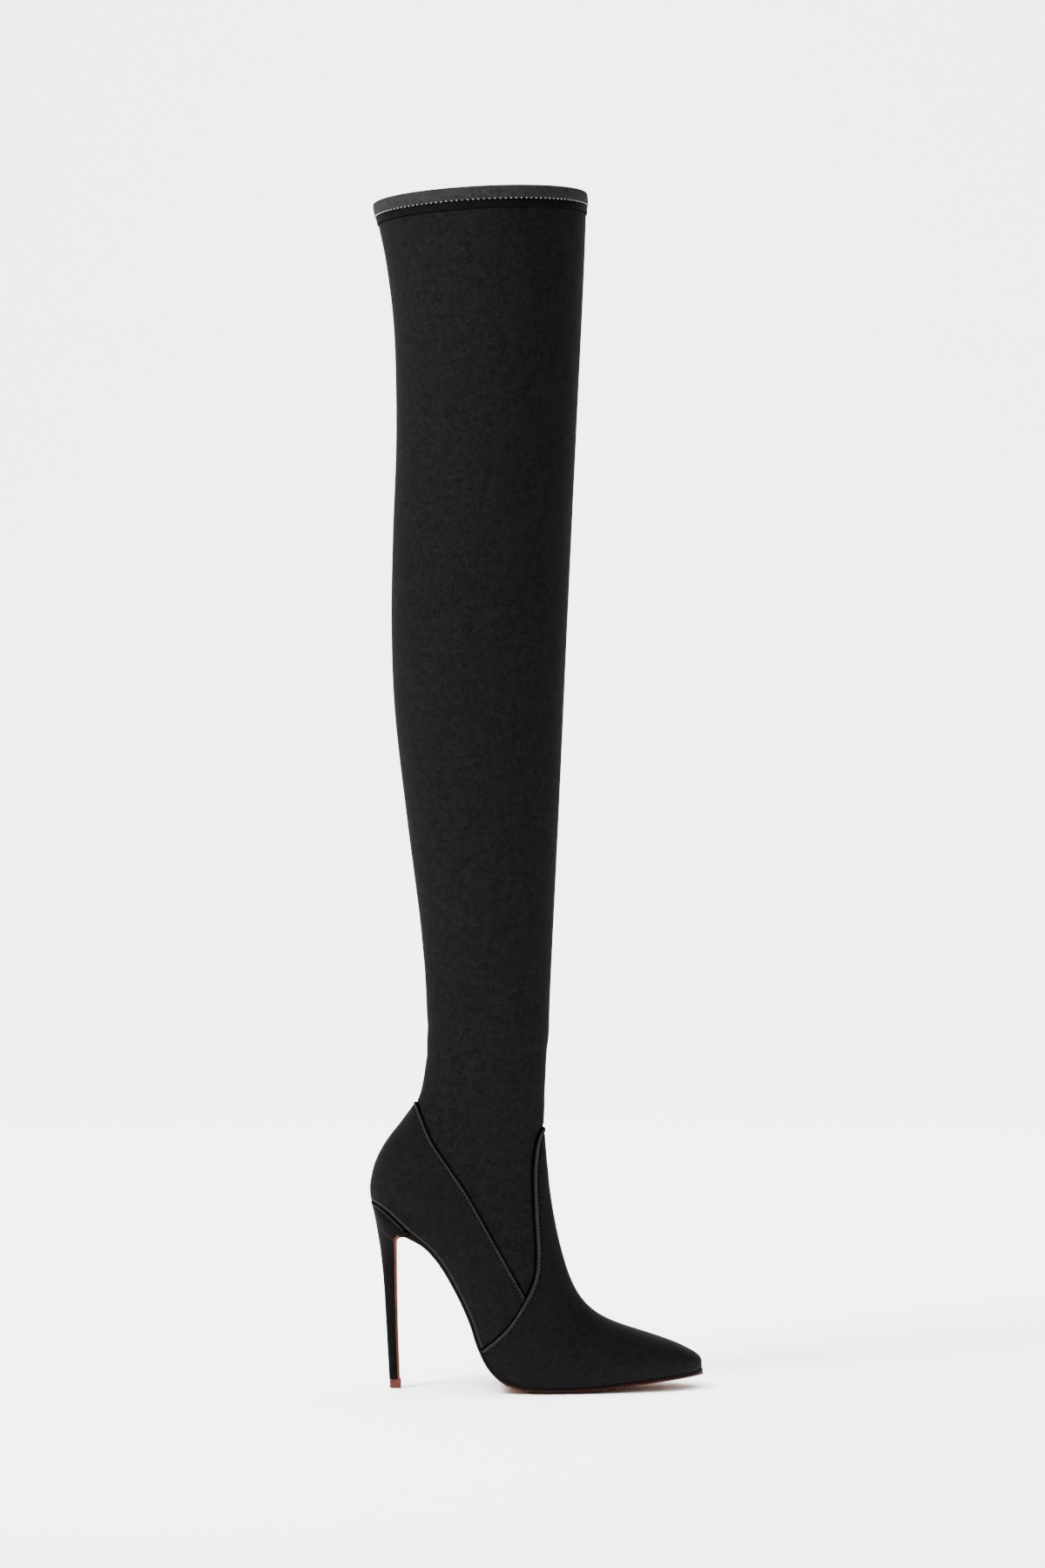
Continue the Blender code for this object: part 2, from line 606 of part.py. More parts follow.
def breast_faces():
    """Side view of the flap from the sole down the breast: its visible and its hidden face."""
    _, centre, start = breast_tangent()
    shown, hidden = [], []
    upright = math.pi / 2
    nose = np.linspace(start, upright, NOSE_TURNS + 1)[:-1]
    for angle in np.concatenate([nose, np.linspace(upright, math.pi, BREAST_TURNS)]):
        share = (angle - start) / (math.pi - start)
        depth = BREAST_SOLE + share * (FLAP - BREAST_SOLE)
        out = np.array([math.cos(angle), math.sin(angle)])
        shown.append(centre + BREAST_FILLET * out)
        hidden.append(centre + (BREAST_FILLET + depth) * out)
    for share in BREAST_STEPS:
        z = centre[1] + share * (TIP_HEIGHT + GAP - centre[1])
        face = np.array([BREAST_X + BREAST_LEAN * share**2, z])
        shown.append(face)
        hidden.append(face - (FLAP, 0))
    return np.array(shown), np.array(hidden)


def heel_levels():
    """Levels of the heel below its cup: back point, breast point, half width and round of each."""
    _, hidden = breast_faces()
    breast = shifted(hidden, -GAP)[NOSE_TURNS:]
    low = TIP_HEIGHT + GAP
    levels = []
    for (back, back_down, heel, stem, rounded), front in zip(HEEL_RINGS, breast):
        back_z = HEEL_HEIGHT - back_down * (HEEL_HEIGHT - low)
        half = heel * HEEL_WIDTH + stem * STEM_WIDTH
        front_z = low if front is breast[-1] else front[1]
        levels.append(((back * FOOT_LENGTH, back_z), (front[0], front_z), half, rounded))
    return levels


def rounded_level(back, front, half, rounded):
    """One level of the heel, from the breast's outer corner round the back."""
    ring = []
    for side, shares in ((-1, HEEL_AROUND), (1, HEEL_AROUND[-2::-1])):
        for share in shares:
            wide = half * math.sqrt(1 - max(0, 1 - share / rounded) ** 2)
            x, z = np.array(back) + share * (np.array(front) - np.array(back))
            ring.append((x, side * wide, z))
    return ring


def build_heel(collection):
    """The covered heel: a cup under the seat that runs into a thin stem."""
    levels = heel_levels()
    walked, line, _, (outer, inner) = sole_outline(LAYER)
    near = slice(0, len(line) // 2)
    nose = np.interp(levels[0][1][0], line[near, 0], walked[near])
    top_line = shifted(line, -GAP)
    cup = []
    for side, edge, shares in ((-1, outer, HEEL_AROUND), (1, inner, HEEL_AROUND[-2::-1])):
        for share in shares:
            at = -LAYER + share * (nose + LAYER)
            x, z = (np.interp(at, walked, top_line[:, k]) for k in (0, 1))
            wide = np.interp(at, *edge.T) if share else 0
            cup.append((x + min(at, 0), side * wide, z))
    rings = [cup] + [rounded_level(*level) for level in levels]
    return loft("heel", rings, collection)


def build_heel_tip(collection):
    """The top piece that the heel stands on."""
    front = TIP_BACK + TIP_LENGTH
    rings = []
    for z, inset in ((0, TIP_ROUND), (TIP_ROUND, 0), (TIP_HEIGHT, 0)):
        level = (TIP_BACK + inset, z), (front - inset, z), TIP_WIDTH / 2 - inset, 0.8
        rings.append(rounded_level(*level))
    return loft("heel_tip", rings, collection)


def build_outsole(collection):
    """The sole from the toe to the breast, then on down the breast as a flap."""
    start = breast_tangent()[0]
    at, points, ahead, left, right = sole_sections(LAYER + SOLE_LIP, start)
    up = np.column_stack([-ahead[:, 1], ahead[:, 0]])
    depth, edge = sole_depths(at, points[:, 0])
    rings = []
    for k in range(len(at))[::-1]:
        top = points[k] - GAP * up[k]
        low = top - edge[k] * up[k]
        floor = top - depth[k] * up[k]
        floor[1] = max(floor[1], 0)
        inset = min(SOLE_BEVEL, 0.6 * (right[k] - left[k]) / 2)
        rings.append(sole_ring(top, low, floor, left[k], right[k], inset))
    shown, hidden = breast_faces()
    levels = heel_levels()
    heights = [level[1][1] for level in levels][::-1]
    halves = [level[2] for level in levels][::-1]
    for face, back in list(zip(shown, hidden))[1:]:
        half = np.interp(back[1], heights, halves)
        if back[1] > heights[-1]:
            half = min(half, (right[0] - left[0]) / 2)
        rings.append(sole_ring(back, face, face, -half, half, half / 3))
    return loft("outsole", rings, collection)


def sole_ring(top, low, floor, left, right, inset):
    """One section of the sole: flat top, upright edge, and a bottom bevelled towards the edge."""
    corners = ((top, left), (top, right), (low, right), (floor, right - inset))
    corners += ((floor, left + inset), (low, left))
    return [(x, y, z) for (x, z), y in corners]


def finish(thing, colour, roughness):
    """Gives a piece its own material, and smooth faces between its sharp edges."""
    material = bpy.data.materials.new(thing.name + "_surface")
    material.use_nodes = True
    surface = material.node_tree.nodes["Principled BSDF"]
    surface.inputs["Base Color"].default_value = (*colour, 1)
    surface.inputs["Roughness"].default_value = roughness
    surface.inputs["Metallic"].default_value = 0
    material.diffuse_color = (*colour, 1)
    thing.data.materials.append(material)
    thing.data.shade_smooth()
    thing.data.set_sharp_from_angle(angle=SHARP_ANGLE)


def build(collection, cutters):
    """All pieces of the boot, each with its colour and roughness."""
    finish(build_upper(collection), STRETCH_BLACK, 0.85)
    finish(build_vamp(collection, cutters), LEATHER_BLACK, 0.65)
    finish(build_counter(collection, cutters), LEATHER_BLACK, 0.70)
    finish(build_top_band(collection), BAND_BLACK, 0.80)
    finish(build_insole(collection), LINING_BLACK, 0.80)
    finish(build_outsole(collection), SOLE_TAN, 0.45)
    finish(build_heel(collection), LEATHER_BLACK, 0.65)
    finish(build_heel_tip(collection), TIP_BROWN, 0.50)


def main():
    for thing in list(bpy.data.objects):
        bpy.data.objects.remove(thing, do_unlink=True)
    boot = bpy.data.collections.new(NAME)
    cutters = bpy.data.collections.new("cutters")
    bpy.context.scene.collection.children.link(boot)
    bpy.context.scene.collection.children.link(cutters)
    build(boot, cutters)


main()
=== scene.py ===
"""Looks of the thigh high boot: fine surfaces over the solids, seams, stitches and materials.

The surface of the boot repeats the sections of the solids with finer steps.
The overlays are cut from that surface along their seams and raised by a profile across the seam.
"""

import math

import bmesh
import bpy
import numpy as np
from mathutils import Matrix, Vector
from mathutils.bvhtree import BVHTree


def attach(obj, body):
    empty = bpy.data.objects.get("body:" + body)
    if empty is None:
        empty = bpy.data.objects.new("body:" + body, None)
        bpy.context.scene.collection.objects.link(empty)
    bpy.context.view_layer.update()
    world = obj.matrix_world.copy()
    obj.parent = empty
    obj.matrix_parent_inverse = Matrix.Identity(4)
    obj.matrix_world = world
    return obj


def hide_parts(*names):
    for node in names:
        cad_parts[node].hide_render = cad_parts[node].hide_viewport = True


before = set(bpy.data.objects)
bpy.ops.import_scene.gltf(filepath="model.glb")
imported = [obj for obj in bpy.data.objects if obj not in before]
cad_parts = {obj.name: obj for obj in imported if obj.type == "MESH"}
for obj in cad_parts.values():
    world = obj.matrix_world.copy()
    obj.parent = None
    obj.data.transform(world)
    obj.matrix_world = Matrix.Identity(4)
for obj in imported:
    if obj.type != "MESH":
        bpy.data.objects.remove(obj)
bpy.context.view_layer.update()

# Foot and leg, as in the solids
FOOT_LENGTH = 0.2086
HEEL_HEIGHT = 0.1185
INSTEP_RISE = 0.0465
TOE_HEIGHT = 0.0262
TOE_SPRING = 0.0075
ANKLE_RISE = 0.1085
SHAFT_RISE = 0.5268
COLLAR_TILT = 0.0070
LEG_AXIS = -0.0310
COLLAR_DEPTH = 0.1335
CALF_DEPTH = 0.1117
ANKLE_DEPTH = 0.0771
COLLAR_WIDTH = 0.1330
CALF_WIDTH = 0.1060
ANKLE_WIDTH = 0.0620
HEEL_WIDTH = 0.0560
WAIST_WIDTH = 0.0540
BALL_WIDTH = 0.0790

# Layers
WALL = 0.0012
GAP = 0.0003
LAYER = 0.0011
OUTSOLE = 0.0040
SOLE_EDGE = 0.0021
SOLE_LIP = 0.0004
SOLE_BEVEL = 0.0075
SHANK_SOLE = 0.0021
FLAP = 0.0012
BAND_HEIGHT = 0.0125
BAND_INSIDE = 0.0100

# Heel
TIP_HEIGHT = 0.0054
TIP_LENGTH = 0.0072
TIP_WIDTH = 0.0092
TIP_SET = 0.0115
TIP_ROUND = 0.0005
BREAST_SET = 0.0161
BREAST_FILLET = 0.0045
BREAST_LEAN = 0.0019
BREAST_SOLE = 0.0037
BREAST_SWELL = 0.0140
STEM_WIDTH = 0.0090

# A length that counts as none, and how near a level a point's value counts as on it
TINY = 1e-9
ON_LEVEL = 1e-8

# Fine steps on each half of a section, and those of them that run round the back of the seat
COLUMNS = 48
CUP_COLUMNS = 12

# Steps of a section's arcs, between rows along the feather line, and along a line of stitches
ARC_STEPS = 160
FEATHER_STEPS = 8
STITCH_LINE_STEPS = 30

# Largest share of a section's half width that its edge on the sole may take
WIDEST_SOLE = 0.995

# How far the looks of flap and top piece reach over the gap to the heel, and the sole's to the skin
SEATED = 0.9 * GAP
SOLE_SEATED = 0.3 * GAP

SOLE_TOP = OUTSOLE + GAP
ANKLE_HEIGHT = HEEL_HEIGHT + ANKLE_RISE
INSTEP_HEIGHT = HEEL_HEIGHT + INSTEP_RISE
TIP_BACK = TIP_SET - FOOT_LENGTH / 2
BREAST_X = BREAST_SET - FOOT_LENGTH / 2

# Depth and width of each section of the shaft, and width of each section of the foot
COLLAR, CALF = (COLLAR_DEPTH, COLLAR_WIDTH), (CALF_DEPTH, CALF_WIDTH)
SHAFT_SIZES = (COLLAR,) * 3 + (CALF,) * 6 + ((ANKLE_DEPTH, ANKLE_WIDTH),) * 3
FOOT_WIDTHS = (HEEL_WIDTH,) * 7 + (WAIST_WIDTH,) * 5 + (BALL_WIDTH,) * 14

SHAFT_SECTIONS = (
    # height, tilt, back, front, half, widest
    (1, 1, -0.535, 0.465, 0.5, 0.5),
    (0.975, 1, -0.514, 0.466, 0.49, 0.5),
    (0.922, 0.7, -0.476, 0.459, 0.466, 0.5),
    (0.838, 0.4, -0.527, 0.531, 0.554, 0.5),
    (0.712, 0.1, -0.516, 0.502, 0.53, 0.49),
    (0.586, 0, -0.536, 0.474, 0.515, 0.48),
    (0.482, 0, -0.543, 0.451, 0.5, 0.47),
    (0.377, 0, -0.523, 0.429, 0.47, 0.46),
    (0.251, 0, -0.455, 0.402, 0.415, 0.47),
    (0.126, 0, -0.55, 0.541, 0.595, 0.49),
    (0.042, 0, -0.503, 0.514, 0.53, 0.5),
    (-0.006, 0.7, -0.494, 0.503, 0.505, 0.49),
)

HEEL_SECTIONS = (
    # back_x, back_up, front_x, front_up, half, widest
    (-0.338, 0.770, 0.0315, 0.862, 0.550, 0.47),
    (-0.356, 0.600, 0.0275, 0.730, 0.545, 0.44),
    (-0.401, 0.468, 0.0250, 0.613, 0.540, 0.41),
    (-0.450, 0.345, 0.0240, 0.516, 0.530, 0.37),
    (-0.483, 0.228, 0.0215, 0.442, 0.520, 0.33),
    (-0.498, 0.115, 0.0205, 0.381, 0.512, 0.30),
    (-0.500, 0.052, 0.0215, 0.345, 0.507, 0.285),
)

FOOT_SECTIONS = (
    # back_x, lift, spring, front_x, instep, toe,
    # swing, outer, inner, sole_outer, sole_inner, widest, top
    (-0.496, 1, 0, 0.023, 0.92, 0, 0, 0.505, 0.505, 0, 0, 0.275, 2),
    (-0.493, 0.998, 0, 0.024, 0.911, 0, 0, 0.504, 0.504, 0.098, 0.098, 0.272, 1.99),
    (-0.485, 0.992, 0, 0.025, 0.9, 0, 0, 0.503, 0.503, 0.186, 0.186, 0.27, 1.98),
    (-0.472, 0.981, 0, 0.026, 0.885, 0, 0, 0.502, 0.502, 0.27, 0.27, 0.27, 1.96),
    (-0.45, 0.953, 0, 0.028, 0.862, 0, 0, 0.502, 0.502, 0.352, 0.35, 0.27, 1.94),
    (-0.418, 0.901, 0, 0.031, 0.828, 0, 0, 0.502, 0.5, 0.42, 0.414, 0.27, 1.92),
    (-0.376, 0.832, 0, 0.034, 0.782, 0, 0, 0.5, 0.495, 0.444, 0.432, 0.27, 1.9),
    (-0.329, 0.764, 0, 0.04, 0.726, 0, -0.01, 0.515, 0.5, 0.43, 0.404, 0.27, 1.88),
    (-0.287, 0.676, 0, 0.049, 0.656, 0, -0.02, 0.52, 0.495, 0.406, 0.362, 0.27, 1.86),
    (-0.251, 0.57, 0, 0.062, 0.576, 0, -0.03, 0.535, 0.5, 0.41, 0.352, 0.27, 1.86),
    (-0.22, 0.463, 0, 0.078, 0.498, 0, -0.03, 0.565, 0.525, 0.438, 0.376, 0.26, 1.88),
    (-0.192, 0.346, 0, 0.096, 0.428, 0, -0.02, 0.6, 0.565, 0.48, 0.428, 0.25, 1.9),
    (-0.169, 0.22, 0, 0.119, 0.367, 0, -0.01, 0.425, 0.412, 0.358, 0.34, 0.24, 1.94),
    (-0.139, 0.116, 0, 0.146, 0.321, 0, 0, 0.45, 0.442, 0.398, 0.388, 0.23, 1.98),
    (-0.1, 0.047, 0, 0.175, 0.288, 0, 0.01, 0.475, 0.472, 0.432, 0.43, 0.22, 2.02),
    (-0.05, 0.014, 0, 0.206, 0.264, 0, 0.015, 0.492, 0.492, 0.456, 0.458, 0.21, 2.06),
    (0.015, 0, 0, 0.247, 0.241, 0, 0.02, 0.5, 0.5, 0.47, 0.472, 0.21, 2.1),
    (0.092, 0, 0, 0.295, 0.22, 0, 0.03, 0.492, 0.49, 0.466, 0.464, 0.21, 2.14),
    (0.17, 0, 0.08, 0.345, 0.1995, 0, 0.04, 0.47, 0.462, 0.446, 0.438, 0.22, 2.16),
    (0.247, 0, 0.29, 0.391, 0, 1.128, 0.05, 0.432, 0.42, 0.409, 0.397, 0.23, 2.18),
    (0.32, 0, 0.49, 0.43, 0, 1.002, 0.06, 0.378, 0.364, 0.356, 0.342, 0.24, 2.2),
    (0.383, 0, 0.66, 0.459, 0, 0.89, 0.066, 0.312, 0.298, 0.29, 0.276, 0.26, 2.2),
    (0.434, 0, 0.79, 0.48, 0, 0.794, 0.07, 0.238, 0.226, 0.218, 0.206, 0.28, 2.2),
    (0.47, 0, 0.89, 0.492, 0, 0.706, 0.07, 0.158, 0.15, 0.142, 0.134, 0.31, 2.2),
    (0.4895, 0, 0.9725, 0.4955, 0, 0.648, 0.07, 0.078, 0.074, 0.07, 0.066, 0.35, 2.2),
    (0.4965, 0, 1, 0.4965, 0, 0.61, 0.07, 0, 0, 0, 0, 0.4, 2.2),
)

SEAT_ROW = len(SHAFT_SECTIONS) + len(HEEL_SECTIONS)
TOE_ROW = SEAT_ROW + len(FOOT_SECTIONS) - 1
CUP_ROW = SEAT_ROW + 4
SHANK_ROW = SEAT_ROW + 11
TREAD_ROW = SEAT_ROW + 15
DIP_ROWS = 3

# Sections that the overlays span over the seat, and the counter's in front of it
VAMP_REACH = 5
COUNTER_REACH = (7, 16)

# Edges of the overlays in side view, from the top down, in shares of FOOT_LENGTH and INSTEP_HEIGHT
VAMP_EDGE = (
    (0.080, 1.018), (0.030, 1.004), (0.016, 0.991), (0.004, 0.966), (-0.004, 0.925),
    (-0.009, 0.870), (-0.011, 0.800), (-0.007, 0.660), (-0.001, 0.540), (-0.006, 0.440),
    (-0.033, 0.357), (-0.085, 0.256), (-0.141, 0.187), (-0.205, 0.125),
)
COUNTER_EDGE = (
    (-0.420, 1.215), (-0.360, 1.085), (-0.315, 0.955), (-0.259, 0.847), (-0.204, 0.740),
    (-0.125, 0.563), (-0.035, 0.362), (0.010, 0.270),
)

HEEL_RINGS = (
    # back, back_down, heel, stem, rounded
    (-0.4985, 0.030, 0.455, 0.00, 0.95),
    (-0.4952, 0.053, 0.435, 0.00, 0.95),
    (-0.4914, 0.084, 0.400, 0.00, 0.95),
    (-0.4875, 0.120, 0.350, 0.00, 0.95),
    (-0.4837, 0.160, 0.295, 0.00, 0.95),
    (-0.4731, 0.280, 0.110, 0.56, 0.95),
    (-0.4636, 0.448, 0.045, 0.54, 0.90),
    (-0.4578, 0.616, 0.010, 0.54, 0.85),
    (-0.4520, 0.807, 0.000, 0.52, 0.80),
    (-0.4463, 1.000, 0.000, 0.50, 0.80),
)

# Steps of the heel's breast: turns of its round and nose, and shares of the way down to the tip
NOSE_TURNS = 2
BREAST_STEPS = (5, NOSE_TURNS, (0.12, 0.30, 0.50, 0.75, 1.0))

# Profiles across a seam: distance inside the edge, height over the surface
OVERLAY_RIM = ((0.0, 0.0), (0.00020, 0.00070), (0.00050, 0.00115), (0.0010, 0.00140))
STRIP_HEIGHTS = (0.00135, 0.00095, 0.00055, 0.00075, 0.00100)
VAMP_STRIP = OVERLAY_RIM + tuple(zip((0.0018, 0.0022, 0.0026, 0.0030, 0.0034), STRIP_HEIGHTS))
COUNTER_STRIP = OVERLAY_RIM + tuple(zip((0.0013, 0.0016, 0.0019, 0.0022, 0.0026), STRIP_HEIGHTS))
SEAM_GROOVE = ((-0.0013, 0.0), (-0.0008, -0.00035), (0.0, -0.00035), (0.0008, 0.0))
BUTTED_RIM = ((0.00012, 0.0), (0.00028, 0.00050), (0.0006, 0.00085), (0.0011, 0.00100))
SEAT_ROLL = (
    (0.0, 0.00045), (0.0004, 0.00092), (0.0010, 0.00115),
    (0.0016, 0.00108), (0.0020, 0.00088), (0.0024, 0.00100)
)
BACK_SEAM = ((0.0, -0.00035), (0.0003, -0.00012), (0.0008, 0.00008), (0.0018, 0.0))
HEEL_ROLL = ((0.0, 0.0), (0.0013, 0.0), (0.0018, 0.00030), (0.0024, 0.00022), (0.0032, 0.0))

# Value of the points that lie away from the back seam
FAR_ASIDE = 0.01

# Distances inside an edge at which its cut edge, its strip and its groove end, their materials
# (a painted highlight on the strip and painted shade on the others), and the distances of the
# stitches
VAMP_SHADES = (0.00035, 0.0021, 0.0031)
COUNTER_SHADES = (0.00035, 0.0015, 0.0023)
STRIP_PAINT = (1, 2, 1)
VAMP_STITCHES = 0.0026
COUNTER_STITCHES = 0.0019

# Heights over the feather line at which the counter's edge with painted shade and its roll with a
# painted highlight end
SEAT_SHADES = (0.0006, 0.0018)
SEAT_PAINT = (1, 2)

# Depths under the feather line at which the heel's groove with painted shade ends, and its fold with
# a painted highlight starts and ends
HEEL_SHADES = (0.0013, 0.0016, 0.0023)
HEEL_PAINT = (1, 0, 2)

# Soft creases of the shaft in side view: place, slant in degrees, half length, half width, depth
CREASES = (
    # x, z, slant, length, width, depth
    (-0.061, 0.226, -18, 0.020, 0.0055, 0.00035),
    (-0.058, 0.205, -24, 0.022, 0.0050, 0.00040),
    (-0.050, 0.186, -32, 0.024, 0.0050, 0.00035),
    (-0.012, 0.208, 16, 0.017, 0.0050, 0.00030),
    (-0.014, 0.184, 10, 0.016, 0.0045, 0.00030),
    (-0.052, 0.262, -10, 0.020, 0.0070, 0.00025),
)

# Ridge beside a crease: its share of the crease's depth, and its distance in half widths
RIDGE_SHARE = 0.6
RIDGE_AWAY = 1.6


# Surface of the boot


def smooth(rows, at):
    """Rows of a table at the places `at`, on a curve through every row."""
    rows = np.asarray(rows, float)
    slopes = np.gradient(rows, axis=0, edge_order=2)
    first = np.clip(np.floor(at).astype(int), 0, len(rows) - 2)
    t = (np.asarray(at, float) - first)[:, None]
    start = rows[first] * (1 + 2 * t) * (1 - t) ** 2
    end = rows[first + 1] * t**2 * (3 - 2 * t)
    bend = slopes[first] * t * (1 - t) ** 2 - slopes[first + 1] * t**2 * (1 - t)
    return start + end + bend


def walk(line):
    """Way along a flat line from its start to each of its points."""
    return np.concatenate([[0], np.cumsum(np.hypot(*np.diff(line, axis=0).T))])


def between(at, walked, rows):
    """Rows of a table at some ways along it."""
    return np.array([np.interp(at, walked, column) for column in rows.T]).T


def unit(steps):
    """Directions made one long."""
    return steps / np.linalg.norm(steps, axis=1)[:, None]


def turned(steps):
    """Flat directions turned left by a right angle."""
    return np.column_stack([-steps[:, 1], steps[:, 0]])


def section_rows():
    """Side view, widths and roundness of every section, from the collar to the toe."""
    edges, shapes = [], []
    for (depth, width), row in zip(SHAFT_SIZES, SHAFT_SECTIONS):
        height, tilt, back, front, half, widest = row
        z = ANKLE_HEIGHT + height * (SHAFT_RISE - LAYER)
        edges.append((LEG_AXIS + back * depth, z - tilt * COLLAR_TILT, 0, 0))
        shapes.append((LEG_AXIS + front * depth, z, 0, half * width, half * width, widest, 2.0))
    for back_x, back_up, front_x, front_up, half, widest in HEEL_SECTIONS:
        edges.append((back_x * FOOT_LENGTH, HEEL_HEIGHT + back_up * ANKLE_RISE, 0, 0))
        front_z = HEEL_HEIGHT + front_up * ANKLE_RISE
        half_width = half * HEEL_WIDTH
        shapes.append((front_x * FOOT_LENGTH, front_z, 0, half_width, half_width, widest, 2.0))
    for width, row in zip(FOOT_WIDTHS, FOOT_SECTIONS):
        back_x, lift, spring, front_x, instep, toe = row[:6]
        swing, outer, inner, sole_outer, sole_inner, widest, top = row[6:]
        back_z = SOLE_TOP + lift * (HEEL_HEIGHT - SOLE_TOP) + spring * TOE_SPRING
        edges.append((back_x * FOOT_LENGTH, back_z, sole_outer * width, sole_inner * width))
        front = (front_x * FOOT_LENGTH, instep * INSTEP_HEIGHT + toe * TOE_HEIGHT)
        shapes.append((*front, swing * width, outer * width, inner * width, widest, top))
    return edges, shapes


EDGES, SHAPES = section_rows()


def edge_at(at):
    """Back or sole edge of the sections at `at`: x, z and the sole's half widths."""
    at = np.asarray(at, float)
    leg = smooth(EDGES[: SEAT_ROW + 1], np.minimum(at, SEAT_ROW))
    foot = smooth(EDGES[SEAT_ROW:], np.maximum(at - SEAT_ROW, 0))
    return np.where((at > SEAT_ROW)[:, None], foot, leg)


def half_section(length, half, sole_half, widest, top, columns):
    """One side of a section, from its back to its front: places along it and half widths."""
    sole_half = min(sole_half, WIDEST_SOLE * half)
    cut = math.sqrt(1 - (sole_half / max(half, TINY)) ** 2)
    turn = np.linspace(0, math.pi / 2, ARC_STEPS)
    low_turn = turn * math.asin(cut) / (math.pi / 2)
    low_along = widest * (1 - np.sin(low_turn)[::-1] / max(cut, TINY))
    low_width = half * np.cos(low_turn)[::-1]
    top_along = widest + (1 - widest) * np.sin(turn) ** (2 / top)
    top_width = half * np.cos(turn) ** (2 / top)
    along = length * np.concatenate([low_along, top_along[1:]])
    across = np.concatenate([low_width, top_width[1:]])
    across[-1] = 0
    line = np.column_stack([along, across])
    walked = walk(line)
    return between(np.linspace(0, walked[-1], columns + 1), walked, line).T


def section_points(at, columns):
    """Both sides of the section at one place, each from its back to its front."""
    edge, shape = edge_at([at])[0], smooth(SHAPES, [at])[0]
    back = np.array([edge[0], 0, edge[1]])
    front = np.array([shape[0], 0, shape[1]])
    length = np.linalg.norm(front - back)
    lean = (front - back) / max(length, TINY)
    swing, outer, inner, widest, top = shape[2:]
    sides = []
    for side, half, sole_half in ((-1, outer, edge[2]), (1, inner, edge[3])):
        half, sole_half = max(half, 0), max(sole_half, 0)
        along, across = half_section(length, half, sole_half, widest, top, columns)
        points = back + along[:, None] * lean
        points[:, 1] = swing + side * across
        sides.append(points)
    return sides


def cup_points(columns, cup):
    """The row that runs round the back of the seat, then up the first open section."""
    seat = edge_at(np.linspace(SEAT_ROW, CUP_ROW, cup + 1))
    sides = []
    for sign, column, section in zip((-1, 1), (2, 3), section_points(CUP_ROW, columns - cup)):
        line = np.column_stack([seat[:, 0], sign * seat[:, column], seat[:, 1]])
        sides.append(np.concatenate([line, section[1:]]))
    return sides


def skin_points(at, columns=COLUMNS, cup=CUP_COLUMNS):
    """Points of the boot's surface, a row for each section, from its outer side over the front."""
    flat = section_points(SEAT_ROW, columns)
    dips = [bent - level for bent, level in zip(cup_points(columns, cup), flat)]
    rows = []
    for place in at:
        if place > SEAT_ROW:
            sides = section_points(place, columns - cup)
            sides = [np.concatenate([side[:1].repeat(cup, axis=0), side]) for side in sides]
        else:
            share = max(0, 1 - (SEAT_ROW - place) / DIP_ROWS)
            share = share**2 * (3 - 2 * share)
            sides = [side + share * dip for side, dip in zip(section_points(place, columns), dips)]
        rows.append(np.concatenate([sides[0], sides[1][-2::-1]]))
    return np.array(rows)


def skin_places(first, last, shaft_step=0.125, heel_step=0.125, foot_step=0.2):
    """Places of the fine rows of the surface from one section to another."""
    ankle = len(SHAFT_SECTIONS) - 1
    places = [
        np.arange(0, ankle, shaft_step),
        np.arange(ankle, SEAT_ROW + heel_step / 2, heel_step),
        np.arange(CUP_ROW + foot_step, TOE_ROW - 1 + foot_step / 2, foot_step),
        TOE_ROW - 1 + np.sin(np.linspace(0, math.pi / 2, 9))[1:],
    ]
    places = np.concatenate(places)
    return places[(places >= first) & (places <= last)]


# Meshes and pieces


def mesh_shape(points, faces, shades=()):
    """A mesh whose points that fall together are one, with materials for its first faces."""
    shape = bmesh.new()
    places, corners = {}, []
    for point in points:
        place = tuple(round(value, 6) for value in point)
        if place not in places:
            places[place] = shape.verts.new(point)
        corners.append(places[place])
    shades = tuple(shades) + (0,) * (len(faces) - len(shades))
    for face, shade in zip(faces, shades):
        own = list(dict.fromkeys(corners[i] for i in face))
        if len(own) > 2:
            shape.faces.new(own).material_index = shade
    return shape


def skin_shape(places, columns=COLUMNS, cup=CUP_COLUMNS):
    """The open surface of the boot through the rows at the given places."""
    rows = skin_points(places, columns, cup)
    count, wide = rows.shape[:2]
    faces = []
    for i in range(count - 1):
        edge = cup if places[i + 1] > SEAT_ROW else 0
        for j in range(edge, wide - 1 - edge):
            a, b = i * wide + j, (i + 1) * wide + j
            faces.append((a, b, b + 1, a + 1))
    return mesh_shape(rows.reshape(-1, 3), faces)


def ring_shape(rings, first_lid, last_lid, shades=()):
    """A wall through closed rings, with lids where wanted and materials for its first rings."""
    rings = np.asarray(rings)
    count, around = rings.shape[:2]
    faces = []
    for i in range(count - 1):
        for j in range(around):
            k = (j + 1) % around
            a, b = i * around, (i + 1) * around
            faces.append((a + j, a + k, b + k, b + j))
    if first_lid:
        faces.append(tuple(range(around)))
    if last_lid:
        faces.append(tuple(range((count - 1) * around, count * around)))
    shades = [shade for row in shades[: count - 1] for shade in row]
    shape = mesh_shape(rings.reshape(-1, 3), faces, shades)
    bmesh.ops.recalc_face_normals(shape, faces=shape.faces)
    return shape


def add_piece(name, shape, materials, node=None, sharp=None):
    """Makes an object of the mesh that rides on the boot, with edges sharp over an angle."""
    mesh = bpy.data.meshes.new(name)
    shape.to_mesh(mesh)
    shape.free()
    mesh.shade_smooth()
    if sharp:
        mesh.set_sharp_from_angle(angle=math.radians(sharp))
    thing = bpy.data.objects.new(name, mesh)
    bpy.context.scene.collection.objects.link(thing)
    for material in materials:
        mesh.materials.append(material)
    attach(thing, "root")
    if node:
        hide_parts(node)
    return thing


# Seams in side view, and cuts along them


